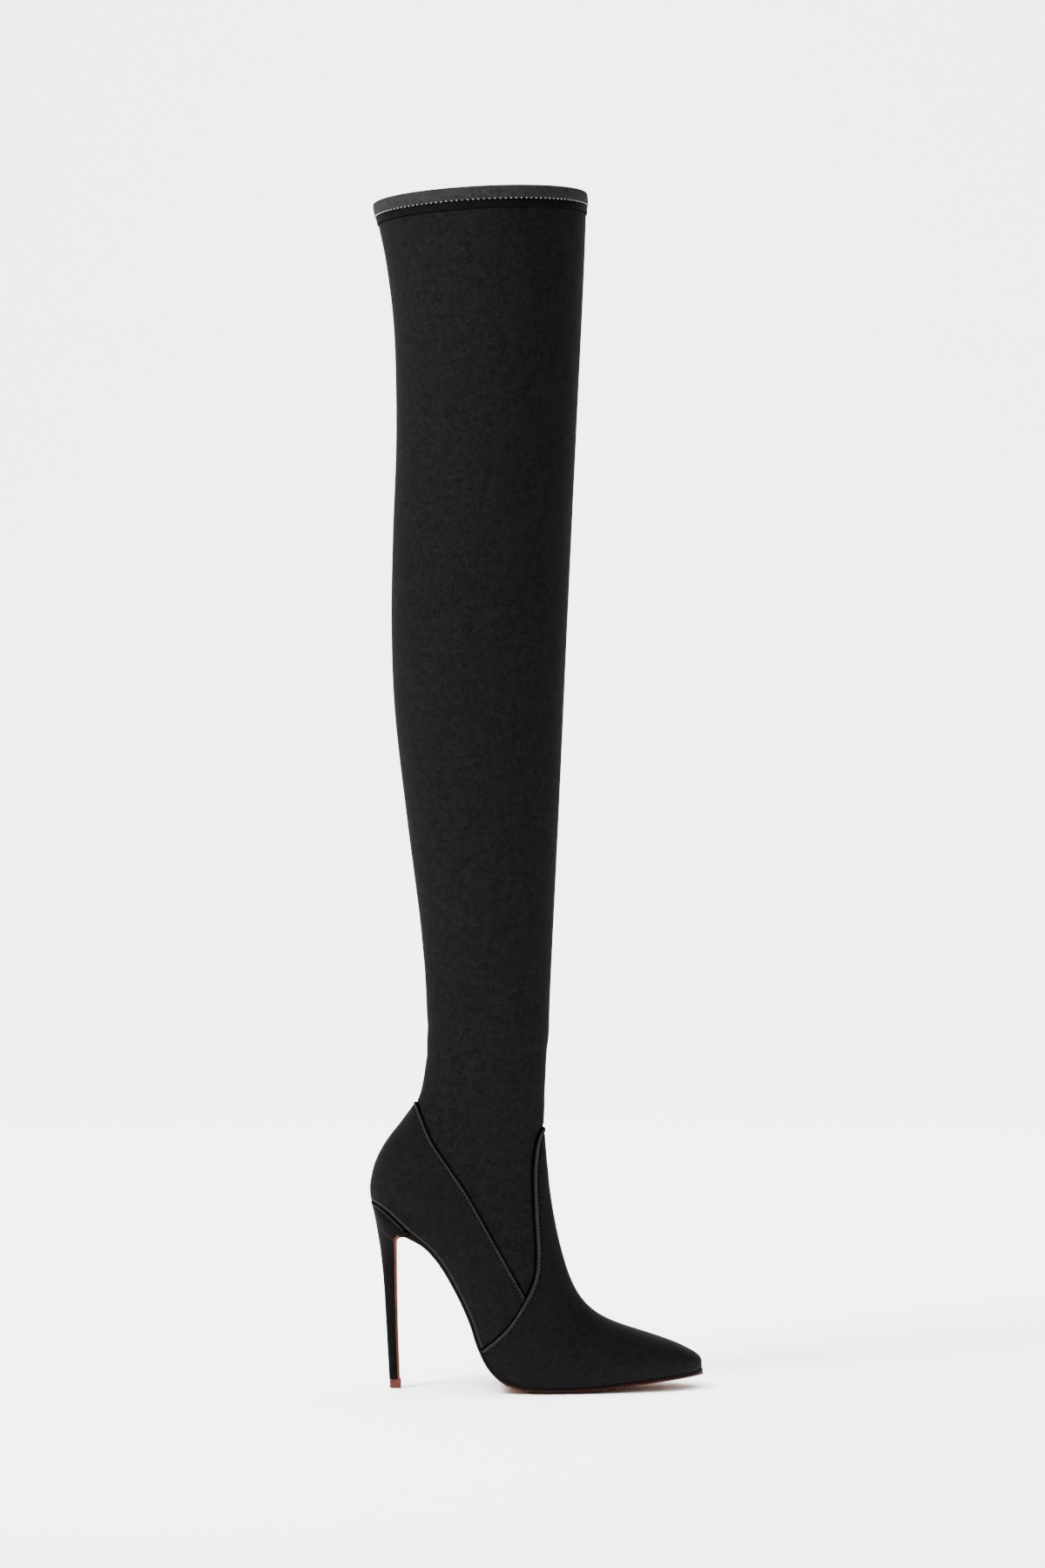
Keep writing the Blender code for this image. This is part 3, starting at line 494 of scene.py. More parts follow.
def side_line(edge, steps=10):
    """The smooth line of a seam in side view."""
    sizes = np.array([FOOT_LENGTH, INSTEP_HEIGHT])
    at = np.linspace(0, len(edge) - 1, (len(edge) - 1) * steps + 1)
    return smooth(np.array(edge) * sizes, at)


def side_distance(points, line):
    """Distances from a line in side view, above zero on the left of the line's direction."""
    run = np.diff(line, axis=0)
    offset = points[:, None] - line[:-1]
    share = np.clip((offset * run).sum(2) / (run**2).sum(1), 0, 1)
    away = offset - share[..., None] * run
    distance = np.hypot(away[..., 0], away[..., 1])
    nearest = distance.argmin(1)
    pick = np.arange(len(points))
    turn = run[nearest, 0] * offset[pick, nearest, 1] - run[nearest, 1] * offset[pick, nearest, 0]
    return np.sign(turn) * distance[pick, nearest]


def shifted(line, distance):
    """A line in side view moved to its left by a distance."""
    line = np.asarray(line, float)
    return line + distance * turned(unit(np.gradient(line, axis=0)))


def feather_line():
    """The line along which skin and sole meet, from the seat to the toe."""
    return edge_at(np.linspace(SEAT_ROW, TOE_ROW, FEATHER_STEPS * (TOE_ROW - SEAT_ROW) + 1))[:, :2]


def measured(shape, **values):
    """Keeps values at each point of the mesh in named layers, and gives the layers."""
    layers = shape.verts.layers.float
    for name in values:
        layers.new(name)
    for name, column in values.items():
        for vert, value in zip(shape.verts, column):
            vert[layers[name]] = value
    return [layers[name] for name in values]


def side_view(shape):
    return np.array([(vert.co.x, vert.co.z) for vert in shape.verts])


def cut_along(shape, layer, levels):
    """Adds edges to the mesh where the layer's value passes each of the levels."""
    for level in levels:
        for edge in list(shape.edges):
            start = edge.verts[0]
            low, high = start[layer] - level, edge.verts[1][layer] - level
            if min(low, high) < -ON_LEVEL and max(low, high) > ON_LEVEL:
                _, vert = bmesh.utils.edge_split(edge, start, low / (low - high))
                vert[layer] = level
        on_level = [vert for vert in shape.verts if abs(vert[layer] - level) < ON_LEVEL]
        bmesh.ops.connect_verts(shape, verts=on_level)


def face_value(face, layer):
    return sum(vert[layer] for vert in face.verts) / len(face.verts)


def drop_faces(shape, layer, level):
    """Deletes the faces on which the layer's value is below a level, and their loose points."""
    low = [face for face in shape.faces if face_value(face, layer) < level]
    bmesh.ops.delete(shape, geom=low, context="FACES")
    loose = [vert for vert in shape.verts if not vert.link_faces]
    bmesh.ops.delete(shape, geom=loose, context="VERTS")


def paint_faces(shape, layer, low, high, index):
    """Gives the faces on which the layer's value lies in a range another material of the piece."""
    for face in shape.faces:
        if low < face_value(face, layer) < high:
            face.material_index = index


def distances(profile):
    return [distance for distance, _ in profile]


def profile_heights(shape, layer, profile):
    """Heights of a profile at the distances that a layer holds."""
    distance, height = np.array(profile).T
    return np.interp([vert[layer] for vert in shape.verts], distance, height)


def raise_points(shape, heights):
    """Moves every point along its normal by its own height."""
    shape.normal_update()
    moves = [vert.normal * height for vert, height in zip(shape.verts, heights)]
    for vert, move in zip(shape.verts, moves):
        vert.co += move


def crease_heights(points):
    """How far soft creases sink the shaft, by place in side view, each with a ridge beside it."""
    depth = np.zeros(len(points))
    for x, z, slant, length, width, sink in CREASES:
        turn = math.radians(slant)
        dx, dz = points[:, 0] - x, points[:, 1] - z
        along = (dx * math.cos(turn) + dz * math.sin(turn)) / length
        across = (dz * math.cos(turn) - dx * math.sin(turn)) / width
        trough = np.exp(-(across**2)) - RIDGE_SHARE * np.exp(-((across - RIDGE_AWAY) ** 2))
        depth -= sink * trough * np.exp(-(along**2))
    return depth


# Materials


def link(tree, start, end):
    tree.links.new(start, end)


# Mottling: scale and detail of patches and spots, share of the patches, places of the two tones
PATCHES = (240, 6)
SPOTS = (900, 3)
PATCH_SHARE = 0.35
TONE_PLACES = (0.34, 0.68)

# How far the roughness goes to each side
ROUGH_SPREAD = 0.07


def fill(node, **values):
    """Sets inputs of a node, each by its name with low lines for spaces."""
    for name, value in values.items():
        node.inputs[name.replace("_", " ")].default_value = value


def surface(name, tones, roughness, specular, *bumps, sheen=(0, 0.5)):
    """A material mottled between a light and a dark tone, with bumps.

    Each bump is a texture's scale, its detail or the feature of its cells, a depth and a strength.
    A sheen is given by its weight and its roughness.
    """
    material = bpy.data.materials.new(name)
    material.use_nodes = True
    tree = material.node_tree
    shader = tree.nodes["Principled BSDF"]
    fill(shader, Specular_IOR_Level=specular, Sheen_Weight=sheen[0], Sheen_Roughness=sheen[1])
    place = tree.nodes.new("ShaderNodeTexCoord").outputs["Object"]
    spots = times(tree, texture(tree, place, *SPOTS), "MULTIPLY", 1 - PATCH_SHARE)
    mottle = times(tree, texture(tree, place, *PATCHES), "MULTIPLY_ADD", PATCH_SHARE)
    link(tree, spots.outputs[0], mottle.inputs[2])
    ramp = tree.nodes.new("ShaderNodeValToRGB")
    for stop, at, tone in zip(ramp.color_ramp.elements, TONE_PLACES, tones[::-1]):
        stop.position = at
        stop.color = (*tone, 1)
    link(tree, mottle.outputs[0], ramp.inputs[0])
    link(tree, ramp.outputs[0], shader.inputs["Base Color"])
    rough = tree.nodes.new("ShaderNodeMapRange")
    fill(rough, To_Min=roughness - ROUGH_SPREAD, To_Max=roughness + ROUGH_SPREAD)
    link(tree, mottle.outputs[0], rough.inputs["Value"])
    link(tree, rough.outputs[0], shader.inputs["Roughness"])
    normal = None
    for scale, kind, depth, strength in bumps:
        normal = bump(tree, texture(tree, place, scale, kind), depth, strength, normal)
    link(tree, normal, shader.inputs["Normal"])
    return material


def times(tree, value, operation, share):
    """A math node with a value and its share."""
    node = tree.nodes.new("ShaderNodeMath")
    node.operation = operation
    node.inputs[1].default_value = share
    link(tree, value, node.inputs[0])
    return node


def texture(tree, place, scale, kind):
    """A noise of some detail, or cells where the kind names their feature."""
    if isinstance(kind, str):
        node = tree.nodes.new("ShaderNodeTexVoronoi")
        node.feature = kind
    else:
        node = tree.nodes.new("ShaderNodeTexNoise")
        fill(node, Detail=kind)
    fill(node, Scale=scale)
    link(tree, place, node.inputs["Vector"])
    return node.outputs["Distance" if isinstance(kind, str) else "Fac"]


def bump(tree, height, depth, strength, normal):
    """Adds a bump, its depth in metres, over the normal of the one before it."""
    node = tree.nodes.new("ShaderNodeBump")
    fill(node, Distance=depth, Strength=strength)
    link(tree, height, node.inputs["Height"])
    if normal:
        link(tree, normal, node.inputs["Normal"])
    return node.outputs["Normal"]


def stretch_suede():
    """Matt black stretch cloth with a short nap."""
    tones = (0.0074, 0.0074, 0.0078), (0.0022, 0.0022, 0.0024)
    weave, nap = (1500, "F1", 0.00022, 0.30), (2400, 4, 0.00020, 0.45)
    return surface("stretch_suede", tones, 0.90, 0.02, weave, nap, sheen=(0.004, 0.45))


def overlay_suede():
    """The same cloth where it is backed and pulled smooth over the last."""
    tones = (0.0060, 0.0060, 0.0063), (0.0020, 0.0020, 0.0022)
    weave, nap = (1700, "F1", 0.00018, 0.22), (2200, 4, 0.00016, 0.35)
    return surface("overlay_suede", tones, 0.84, 0.03, weave, nap, sheen=(0.004, 0.45))


def strip_painted_highlight():
    """A lighter copy of the overlay's cloth: a painted highlight on strips folded over a seam, on
    the counter's roll and on the heel's fold.
    """
    tones = (0.0175, 0.0175, 0.0182), (0.0090, 0.0090, 0.0094)
    nap = (2200, 4, 0.00016, 0.35)
    return surface("strip_painted_highlight", tones, 0.78, 0.05, nap)


def seam_painted_shade():
    """Painted shade on cut edges and sewn grooves: a near-black copy of the cloth where shade falls.
    """
    tones = (0.0022, 0.0022, 0.0023), (0.0010, 0.0010, 0.0011)
    nap = (2600, 3, 0.00014, 0.30)
    return surface("seam_painted_shade", tones, 0.92, 0.0, nap)


def band_cloth():
    """The lighter elastic cloth of the collar's binding."""
    tones = (0.0225, 0.0228, 0.0240), (0.0078, 0.0080, 0.0086)
    knit, nap = (1100, "F1", 0.00035, 0.45), (2000, 4, 0.00020, 0.35)
    return surface("band_cloth", tones, 0.90, 0.02, knit, nap, sheen=(0.01, 0.5))


def heel_cover():
    """Smooth black covering of the heel."""
    tones = (0.0036, 0.0036, 0.0038), (0.0016, 0.0016, 0.0018)
    nap = (1900, 4, 0.00014, 0.35)
    return surface("heel_cover", tones, 0.76, 0.02, nap)


def lining_leather():
    """Dark lining with a fine grain."""
    tones = (0.020, 0.018, 0.017), (0.012, 0.011, 0.010)
    grain = (900, "DISTANCE_TO_EDGE", 0.00020, 0.30)
    return surface("lining_leather", tones, 0.62, 0.2, grain)


def sole_leather():
    """Tan sole leather with fine pores and light scuffs."""
    tones = (0.370, 0.180, 0.108), (0.245, 0.108, 0.060)
    fibres, pores = (420, 6, 0.00018, 0.25), (1300, "F1", 0.00010, 0.20)
    return surface("sole_leather", tones, 0.52, 0.3, fibres, pores)


# Inks of the sole: name, light tone, dark tone
SOLE_FINISHES = (
    ("sole_edge_finish", (0.0065, 0.0036, 0.0033), (0.0030, 0.0019, 0.0018)),
    ("sole_bevel_stain", (0.050, 0.011, 0.009), (0.024, 0.007, 0.006)),
    ("sole_flap_edge", (0.080, 0.027, 0.017), (0.042, 0.015, 0.010)),
)


def sole_finish(name, light, dark):
    """Ink on the edge of the sole, its bevel or its flap, with fine streaks."""
    streaks = (600, 4, 0.00012, 0.30)
    return surface(name, (light, dark), 0.66, 0.03, streaks)


def tip_polymer():
    """Red-brown top piece with fine saw marks."""
    tones = (0.100, 0.027, 0.018), (0.048, 0.014, 0.010)
    marks = (1500, 3, 0.00012, 0.30)
    return surface("tip_polymer", tones, 0.60, 0.1, marks)


def thread(name, colour):
    """Twisted thread."""
    tones = colour, tuple(0.6 * part for part in colour)
    twist = (3500, 2, 0.00008, 0.4)
    return surface(name, tones, 0.60, 0.3, twist)


# Shaft, lining and overlays


def build_shaft(cloth, shade):
    """The stretch cloth of shaft and foot, with creases, a seam up the back and sewn grooves."""
    shape = skin_shape(skin_places(0, TOE_ROW))
    view = side_view(shape)
    aside = []
    for vert in shape.verts:
        behind = vert.co.x < LEG_AXIS and vert.co.z > HEEL_HEIGHT
        aside.append(abs(vert.co.y) if behind else FAR_ASIDE)
    vamp = side_distance(view, side_line(VAMP_EDGE))
    counter = side_distance(view, side_line(COUNTER_EDGE)[::-1])
    aside, *seams = measured(shape, aside=aside, vamp=vamp, counter=counter)
    cut_along(shape, aside, distances(BACK_SEAM[1:]))
    for seam in seams:
        cut_along(shape, seam, distances(SEAM_GROOVE))
    heights = profile_heights(shape, aside, BACK_SEAM) + crease_heights(side_view(shape))
    for seam in seams:
        heights += profile_heights(shape, seam, SEAM_GROOVE)
        # Painted shade along the grooves beside the overlays' edges
        paint_faces(shape, seam, SEAM_GROOVE[0][0], SEAM_GROOVE[-1][0], 1)
    raise_points(shape, heights)
    return add_piece("shaft_skin", shape, (cloth, shade), "upper")


def build_lining(material):
    """The inner face of shaft and foot."""
    places = skin_places(0, TOE_ROW, 0.25, 0.25, 0.5)
    shape = skin_shape(places, COLUMNS // 2, CUP_COLUMNS // 2)
    raise_points(shape, np.full(len(shape.verts), -WALL))
    bmesh.ops.reverse_faces(shape, faces=shape.faces)
    return add_piece("lining", shape, (material,))


def paint_bands(shape, layer, first, ends, indexes):
    """Cuts along the ends of bands, and gives the faces of each band a material of the piece."""
    cut_along(shape, layer, ends)
    for low, high, index in zip((first, *ends), ends, indexes):
        paint_faces(shape, layer, low, high, index)


def build_vamp(cloths):
    """The overlay of forefoot and instep, with its stitched strip along the edge."""
    shape = skin_shape(skin_places(SEAT_ROW - VAMP_REACH, TOE_ROW))
    [inside] = measured(shape, inside=side_distance(side_view(shape), side_line(VAMP_EDGE)))
    cut_along(shape, inside, distances(VAMP_STRIP))
    # Painted shade on the cut edge and in the groove, and a painted highlight on the strip between
    # them
    paint_bands(shape, inside, 0, VAMP_SHADES, STRIP_PAINT)
    raise_points(shape, profile_heights(shape, inside, VAMP_STRIP))
    drop_faces(shape, inside, 0)
    return add_piece("vamp_overlay", shape, cloths, "vamp")


def build_counter(cloths):
    """The overlay round the heel, with its strip on top and a rolled edge at the seat."""
    first, last = COUNTER_REACH
    shape = skin_shape(skin_places(SEAT_ROW - first, SEAT_ROW + last))
    view = side_view(shape)
    inside, behind, above = measured(
        shape,
        inside=side_distance(view, side_line(COUNTER_EDGE)[::-1]),
        behind=-side_distance(view, side_line(VAMP_EDGE)),
        above=side_distance(view, feather_line()),
    )
    cut_along(shape, inside, distances(COUNTER_STRIP))
    cut_along(shape, behind, distances(BUTTED_RIM))
    cut_along(shape, above, distances(SEAT_ROLL[1:]))
    # Painted highlight on the strip and on the roll at the seat; painted shade on the cut edge, the
    # groove, the seat's edge and the rim butted against the vamp
    paint_bands(shape, inside, 0, COUNTER_SHADES, STRIP_PAINT)
    paint_bands(shape, above, -SEAT_SHADES[0], SEAT_SHADES, SEAT_PAINT)
    paint_faces(shape, behind, 0, BUTTED_RIM[-1][0], 1)
    strip = profile_heights(shape, inside, COUNTER_STRIP)
    rim = profile_heights(shape, behind, BUTTED_RIM)
    lowest = np.minimum(np.minimum(strip, rim), profile_heights(shape, above, SEAT_ROLL))
    far = np.array([min(vert[behind], vert[above]) for vert in shape.verts]) > SEAT_ROLL[-1][0]
    raise_points(shape, np.where(far, strip, lowest))
    drop_faces(shape, inside, 0)
    drop_faces(shape, behind, BUTTED_RIM[0][0])
    return add_piece("counter_overlay", shape, cloths, "counter")


# Last row of the shaft, and number of places, among which the collar's outline is looked for
COLLAR_PLACES = (2, 41)


def ring_line(depth, out, rise=0.0):
    """The collar's outline some way down the shaft, moved outwards and upwards."""
    places = np.linspace(0, *COLLAR_PLACES)
    heights = smooth(SHAPES, places)[:, 1]
    points = skin_points([np.interp(depth, heights[0] - heights, places)])[0][:-1]
    around = np.roll(points, -1, axis=0) - np.roll(points, 1, axis=0)
    return points + out * outward(around) + np.array([0, 0, rise])


def outward(around):
    """Level directions that point outwards from a line round the collar."""
    return unit(np.cross(around, (0, 0, 1)))


# The binding's stitches: their way up from its lower edge, and out from the shaft
BAND_STITCHES = 0.0056
BAND_STITCH_OUT = 0.00085

# Lower part of the binding's section: way up from its lower edge, way out from the shaft
BAND_FOOT = (
    (-0.0001, 0.00005), (0, 0.00045), (0.0004, 0.00070), (0.0012, 0.00080), (0.0046, 0.00080),
    (0.0052, 0.00060), (0.0056, 0.00075), (0.0062, 0.00120), (0.0070, 0.00130)
)

# Section of the binding: way down the shaft, way out from its surface, rise
BAND_PROFILE = (
    *((BAND_HEIGHT - up, out, 0) for up, out in BAND_FOOT),
    (0.0030, 0.00130, 0),
    (0.0008, 0.00125, 0),
    (0.0, 0.00105, 0.0003),
    (0.0, 0.00065, 0.0009),
    (0.0, 0.0, 0.0012),
    (0.0, -0.00100, 0.0012),
    (0.0, -0.00170, 0.0009),
    (0.0, -0.00215, 0.0002),
    (0.0020, -0.00230, 0),
    (BAND_INSIDE - 0.0008, -0.00225, 0),
    (BAND_INSIDE, -0.00120, 0),
)

# Material of each ring of faces of the binding from its lower edge up to its stitches: painted shade
# on the two lowest rings and the two under the stitches, the heel's dark cover cloth between
BAND_SHADES = (2, 2, 1, 1, 2, 2)


def build_band(cloths):
    """The binding folded over the collar's edge: grey above the stitches and black under them, with
    painted shade at its lower edge and in the groove under the stitches.
    """
    rings = np.array([ring_line(*place) for place in BAND_PROFILE])
    shades = [[shade] * rings.shape[1] for shade in BAND_SHADES]
    shape = ring_shape(rings, False, False, shades)
    return add_piece("collar_binding", shape, cloths, "top_band")


# Steps of the sole between two rows, its sections near its end, and the least first step
OUTLINE_STEPS = 6
SOLE_ENDS = np.array([0, 0.04, 0.15, 0.32, 0.5, 0.75, 1.0])
LEAST_STEP = 0.0005


def sole_outline(grow):
    """Walk along the sole, its side view and half widths, grown all round by a distance."""
    at = np.linspace(SEAT_ROW, TOE_ROW, OUTLINE_STEPS * (TOE_ROW - SEAT_ROW) + 1)
    edge, shape = edge_at(at), smooth(SHAPES, at)
    walked = walk(edge[:, :2])
    halves = []
    for side in (0, 1):
        line = np.column_stack([walked, edge[:, 2 + side]])
        steps = unit(np.gradient(line, axis=0))
        steps[0], steps[-1] = (0, 1), (0, -1)
        halves.append(line + grow * turned(steps))
    return walked, edge[:, :2], shape[:, 2], halves


def sole_sections(grow, start):
    """Stations of the grown outline: side view point, direction, and the two edges in Y."""
    walked, line, swing, (outer, inner) = sole_outline(grow)
    end = walked[-1] + grow
    ends = SOLE_ENDS * 2 * abs(grow)
    rows = walked[::2]
    rows = rows[(rows > start + LEAST_STEP) & (rows < end - ends[-1])]
    at = np.concatenate([[start], rows, (end - ends)[::-1]])
    inside = np.clip(at, 0, walked[-1])
    ahead = unit(between(inside, walked, np.gradient(line, walked, axis=0)))
    points = between(inside, walked, line) + (at - inside)[:, None] * ahead
    middle = np.interp(inside, walked, swing)
    left = middle - np.interp(at, *outer.T)
    right = middle + np.interp(at, *inner.T)
    return at, points, ahead, left, right


def breast_tangent():
    """Where the sole turns down: walk from the seat, centre of the round and its first angle."""
    walked, line, _, _ = sole_outline(0)
    reach = shifted(line, -GAP - BREAST_SOLE - BREAST_FILLET)
    near = slice(len(line) // 20, len(line) // 2)
    centre_x = BREAST_X + BREAST_FILLET
    at = np.interp(centre_x, reach[near, 0], walked[near])
    centre = np.array([centre_x, np.interp(centre_x, *reach[near].T)])
    ahead = between(at, walked, np.gradient(line, walked, axis=0))
    return at, centre, math.atan2(ahead[0], -ahead[1])


def breast_faces(turns, nose_turns, steps):
    """Side view of the flap from the sole down the breast: its visible and its hidden face."""
    _, centre, start = breast_tangent()
    shown, hidden = [], []
    upright = math.pi / 2
    nose = np.linspace(start, upright, nose_turns + 1)[:-1]
    for angle in np.concatenate([nose, np.linspace(upright, math.pi, turns)]):
        share = (angle - start) / (math.pi - start)
        depth = BREAST_SOLE + share * (FLAP - BREAST_SOLE)
        out = np.array([math.cos(angle), math.sin(angle)])
        shown.append(centre + BREAST_FILLET * out)
        hidden.append(centre + (BREAST_FILLET + depth) * out)
    for share in steps:
        z = centre[1] + share * (TIP_HEIGHT + GAP - centre[1])
        face = np.array([BREAST_X + BREAST_LEAN * share**2, z])
        shown.append(face)
        hidden.append(face - (FLAP, 0))
    return np.array(shown), np.array(hidden)


def heel_levels():
    """Levels of the heel below its cup: back and breast points, half width and round of each."""
    _, hidden = breast_faces(*BREAST_STEPS)
    breast = shifted(hidden, -GAP)[NOSE_TURNS:]
    low = TIP_HEIGHT + GAP
    levels = []
    for (back, back_down, heel, stem, rounded), front in zip(HEEL_RINGS, breast):
        back_z = HEEL_HEIGHT - back_down * (HEEL_HEIGHT - low)
        half = heel * HEEL_WIDTH + stem * STEM_WIDTH
        front_z = low if front is breast[-1] else front[1]
        levels.append((back * FOOT_LENGTH, back_z, front[0], front_z, half, rounded))
    return np.array(levels)


# Corners of a level of the heel: side, and place between the back and the breast
HEEL_SHARES = (1 + np.cos(np.linspace(0, math.pi, 17))) / 2
HEEL_AROUND = [(-1, share) for share in HEEL_SHARES] + [(1, share) for share in HEEL_SHARES[-2::-1]]

# Shares of the way from the cup to the heel's first level, and fine steps between two levels
CUP_SHARES = (0, 0.08, 0.2, 0.4, 0.6, 0.8)
LEVEL_STEPS = 8


def rounded_level(back, front, half, rounded):
    """One level of the heel, from the breast's outer corner round the back."""
    ring = []
    for side, share in HEEL_AROUND:
        wide = half * math.sqrt(1 - max(0, 1 - share / rounded) ** 2)
        x, z = np.array(back) + share * (np.array(front) - np.array(back))
        ring.append((x, side * wide, z))
    return np.array(ring)


def heel_cup(nose_x):
    """The heel's upper edge, round the seat."""
    walked, line, _, (outer, inner) = sole_outline(LAYER)
    near = slice(0, len(line) // 2)
    nose = np.interp(nose_x, line[near, 0], walked[near])
    top_line = shifted(line, -GAP / 2)
    cup = []
    for side, share in HEEL_AROUND:
        at = -LAYER + share * (nose + LAYER)
        x, z = between(at, walked, top_line)
        edge = outer if side < 0 else inner
        wide = np.interp(at, *edge.T) if share > TINY else 0
        cup.append((x + min(at, 0), side * wide, z))
    return np.array(cup)


def build_heel(cloths):
    """The covered heel, with a groove and a fold under the seat, the groove darkened by painted
    shade and the fold lightened by a painted highlight.
    """
    levels = heel_levels()
    fine = smooth(levels, np.linspace(0, len(levels) - 1, LEVEL_STEPS * (len(levels) - 1) + 1))
    rings = [rounded_level(row[:2], row[2:4], row[4], row[5]) for row in fine]
    cup = heel_cup(levels[0][2])
    rings = [cup + share * (rings[0] - cup) for share in CUP_SHARES] + rings
    shape = ring_shape(rings, True, True)
    [below] = measured(shape, below=-side_distance(side_view(shape), feather_line()))
    # Painted shade in the groove under the seat, and a painted highlight on the fold below it
    paint_bands(shape, below, -HEEL_SHADES[0], HEEL_SHADES, HEEL_PAINT)
    cut_along(shape, below, distances(HEEL_ROLL[1:]))
    raise_points(shape, profile_heights(shape, below, HEEL_ROLL))
    return add_piece("heel_cover_piece", shape, cloths, "heel", sharp=38)


# Corners of the top piece: rise and inset in shares of its lower round, drop and inset at its top
TIP_CORNERS = ((0, 1.0), (0.29, 0.29), (1.0, 0))
TIP_TOP = (0.0002, 0.00015)


def build_tip(material):
    """The top piece under the heel, with a rounded lower edge."""
    front = TIP_BACK + TIP_LENGTH
    top = TIP_HEIGHT + SEATED
    drop, top_inset = TIP_TOP
    levels = [(TIP_ROUND * rise, TIP_ROUND * inset) for rise, inset in TIP_CORNERS]
    levels += [(top - drop, 0), (top, top_inset)]
    rings = []
    for z, inset in levels:
        back, breast = (TIP_BACK + inset, z), (front - inset, z)
        rings.append(rounded_level(back, breast, TIP_WIDTH / 2 - inset, HEEL_RINGS[-1][-1]))
    shape = ring_shape(rings, True, True)
    return add_piece("top_piece", shape, (material,), "heel_tip", sharp=35)


def sole_depths(at, x, start):
    """Thickness of the sole in its middle and at its edge, with a swell before the breast."""
    bend = [edge_at([row])[0, 0] for row in (SHANK_ROW, TREAD_ROW)]
    swell = (BREAST_SOLE - SHANK_SOLE) * np.clip(1 - (at - start) / BREAST_SWELL, 0, 1) ** 2
    return [np.interp(x, bend, [SHANK_SOLE, tread]) + swell for tread in (OUTSOLE, SOLE_EDGE)]


# Round of the sole's edge, and steps of its bevel
SOLE_ROUND = 0.0005
BEVEL_STEPS = (0.25, 0.5, 0.75, 1.0)


def sole_ring(top, low, floor, left, right, inset):
    """One section of the sole: flat top, rounded edge, and a bottom that curves in from the edge."""
    top, low, floor = np.array(top), np.array(low), np.array(floor)
    middle = (left + right) / 2
    ring = []
    for side, edge in ((1, right), (-1, left)):
        half = abs(edge - middle)
        soft = min(SOLE_ROUND, 0.3 * half)
        tall = top - low
        corners = [(half * 0.5, top), (half - soft, top), (half - 0.25 * soft, top - 0.1 * tall)]
        corners += [(half, top - 0.3 * tall), (half, low + 0.25 * tall), (half - 0.3 * soft, low)]
        for share in BEVEL_STEPS:
            curve = share * (2 - share)
            corners.append((half - soft - share * (inset - soft), low + curve * (floor - low)))
        corners.append(((half - inset) * 0.5, floor))
        half_ring = [(x, middle + side * y, z) for y, (x, z) in corners]
        ring += half_ring if side > 0 else half_ring[::-1]
    return ring


# Finer steps of the flap down the breast
FLAP_STEPS = (17, 6, np.linspace(0, 1, 25)[1:])

# Materials of the faces of half a section, from the middle of its top round its edge to below
TREAD_SHADES = (1, 1, 1, 1, 1, 2, 2, 0, 0, 0)
SHANK_SHADES = (1, 1, 1, 1, 1, 0, 0, 0, 0, 0)
FLAP_SHADES = (3, 3, 3, 3, 3, 0, 0, 0, 0, 0)

# Largest share of a bevel, least height of a stained one, and where the flap's edge begins
BEVEL_SHARE = 0.6
STAINED_BEVEL = 0.0004
FLAP_EDGE_X = BREAST_X + 0.6 * BREAST_FILLET


def build_sole(materials):
    """The sole and its flap down the breast: leather, dark edge, stained bevel, flap's edge."""
    start = breast_tangent()[0]
    at, points, ahead, left, right = sole_sections(LAYER + SOLE_LIP, start)
    up = turned(ahead)
    depth, edge = sole_depths(at, points[:, 0], start)
    rings, shades = [], []
    for k in range(len(at))[::-1]:
        top = points[k] - SOLE_SEATED * up[k]
        low = top - edge[k] * up[k]
        floor = top - depth[k] * up[k]
        floor[1] = max(floor[1], 0)
        low[1] = max(low[1], floor[1])
        inset = min(SOLE_BEVEL, BEVEL_SHARE * (right[k] - left[k]) / 2)
        rings.append(sole_ring(top, low, floor, left[k], right[k], inset))
        shades.append(TREAD_SHADES if depth[k] - edge[k] > STAINED_BEVEL else SHANK_SHADES)
    shown, hidden = breast_faces(*FLAP_STEPS)
    levels = heel_levels()
    heights, halves = levels[::-1, 3], levels[::-1, 4]
    for face, back in list(zip(shown, shifted(hidden, -SEATED)))[1:]:
        half = np.interp(back[1], heights, halves)
        if back[1] > heights[-1]:
            half = min(half, (right[0] - left[0]) / 2)
        rings.append(sole_ring(back, face, face, -half, half, half / 3))
        shades.append(FLAP_SHADES if face[0] < FLAP_EDGE_X else SHANK_SHADES)
    shades = [own + (0,) + own[::-1] + (0,) for own in shades]
    shape = ring_shape(rings, False, True, shades)
    return add_piece("sole", shape, materials, "outsole", sharp=50)


# Rings of a stitch: place along its length, share of its radius
STITCH_RINGS = ((-0.5, 0.35), (-0.36, 0.9), (0, 1.0), (0.36, 0.9), (0.5, 0.35))
STITCH_SIDES = 6

# Lift of a stitch's middle in radii, dive of its ends, and the step that gives its direction
STITCH_LIFT = 0.9
STITCH_DIVE = 2.2
LOOK_AHEAD = 0.0001

# Pitch, length and radius of the stitches on the seams and on the binding
SEAM_STITCH = (0.0026, 0.0019, 0.00020)
BAND_STITCH = (0.0034, 0.0008, 0.00042)

# Where rays start beside the boot, and how far past its middle they may land
WELL_ASIDE = 0.2
PAST_MIDDLE = 0.01


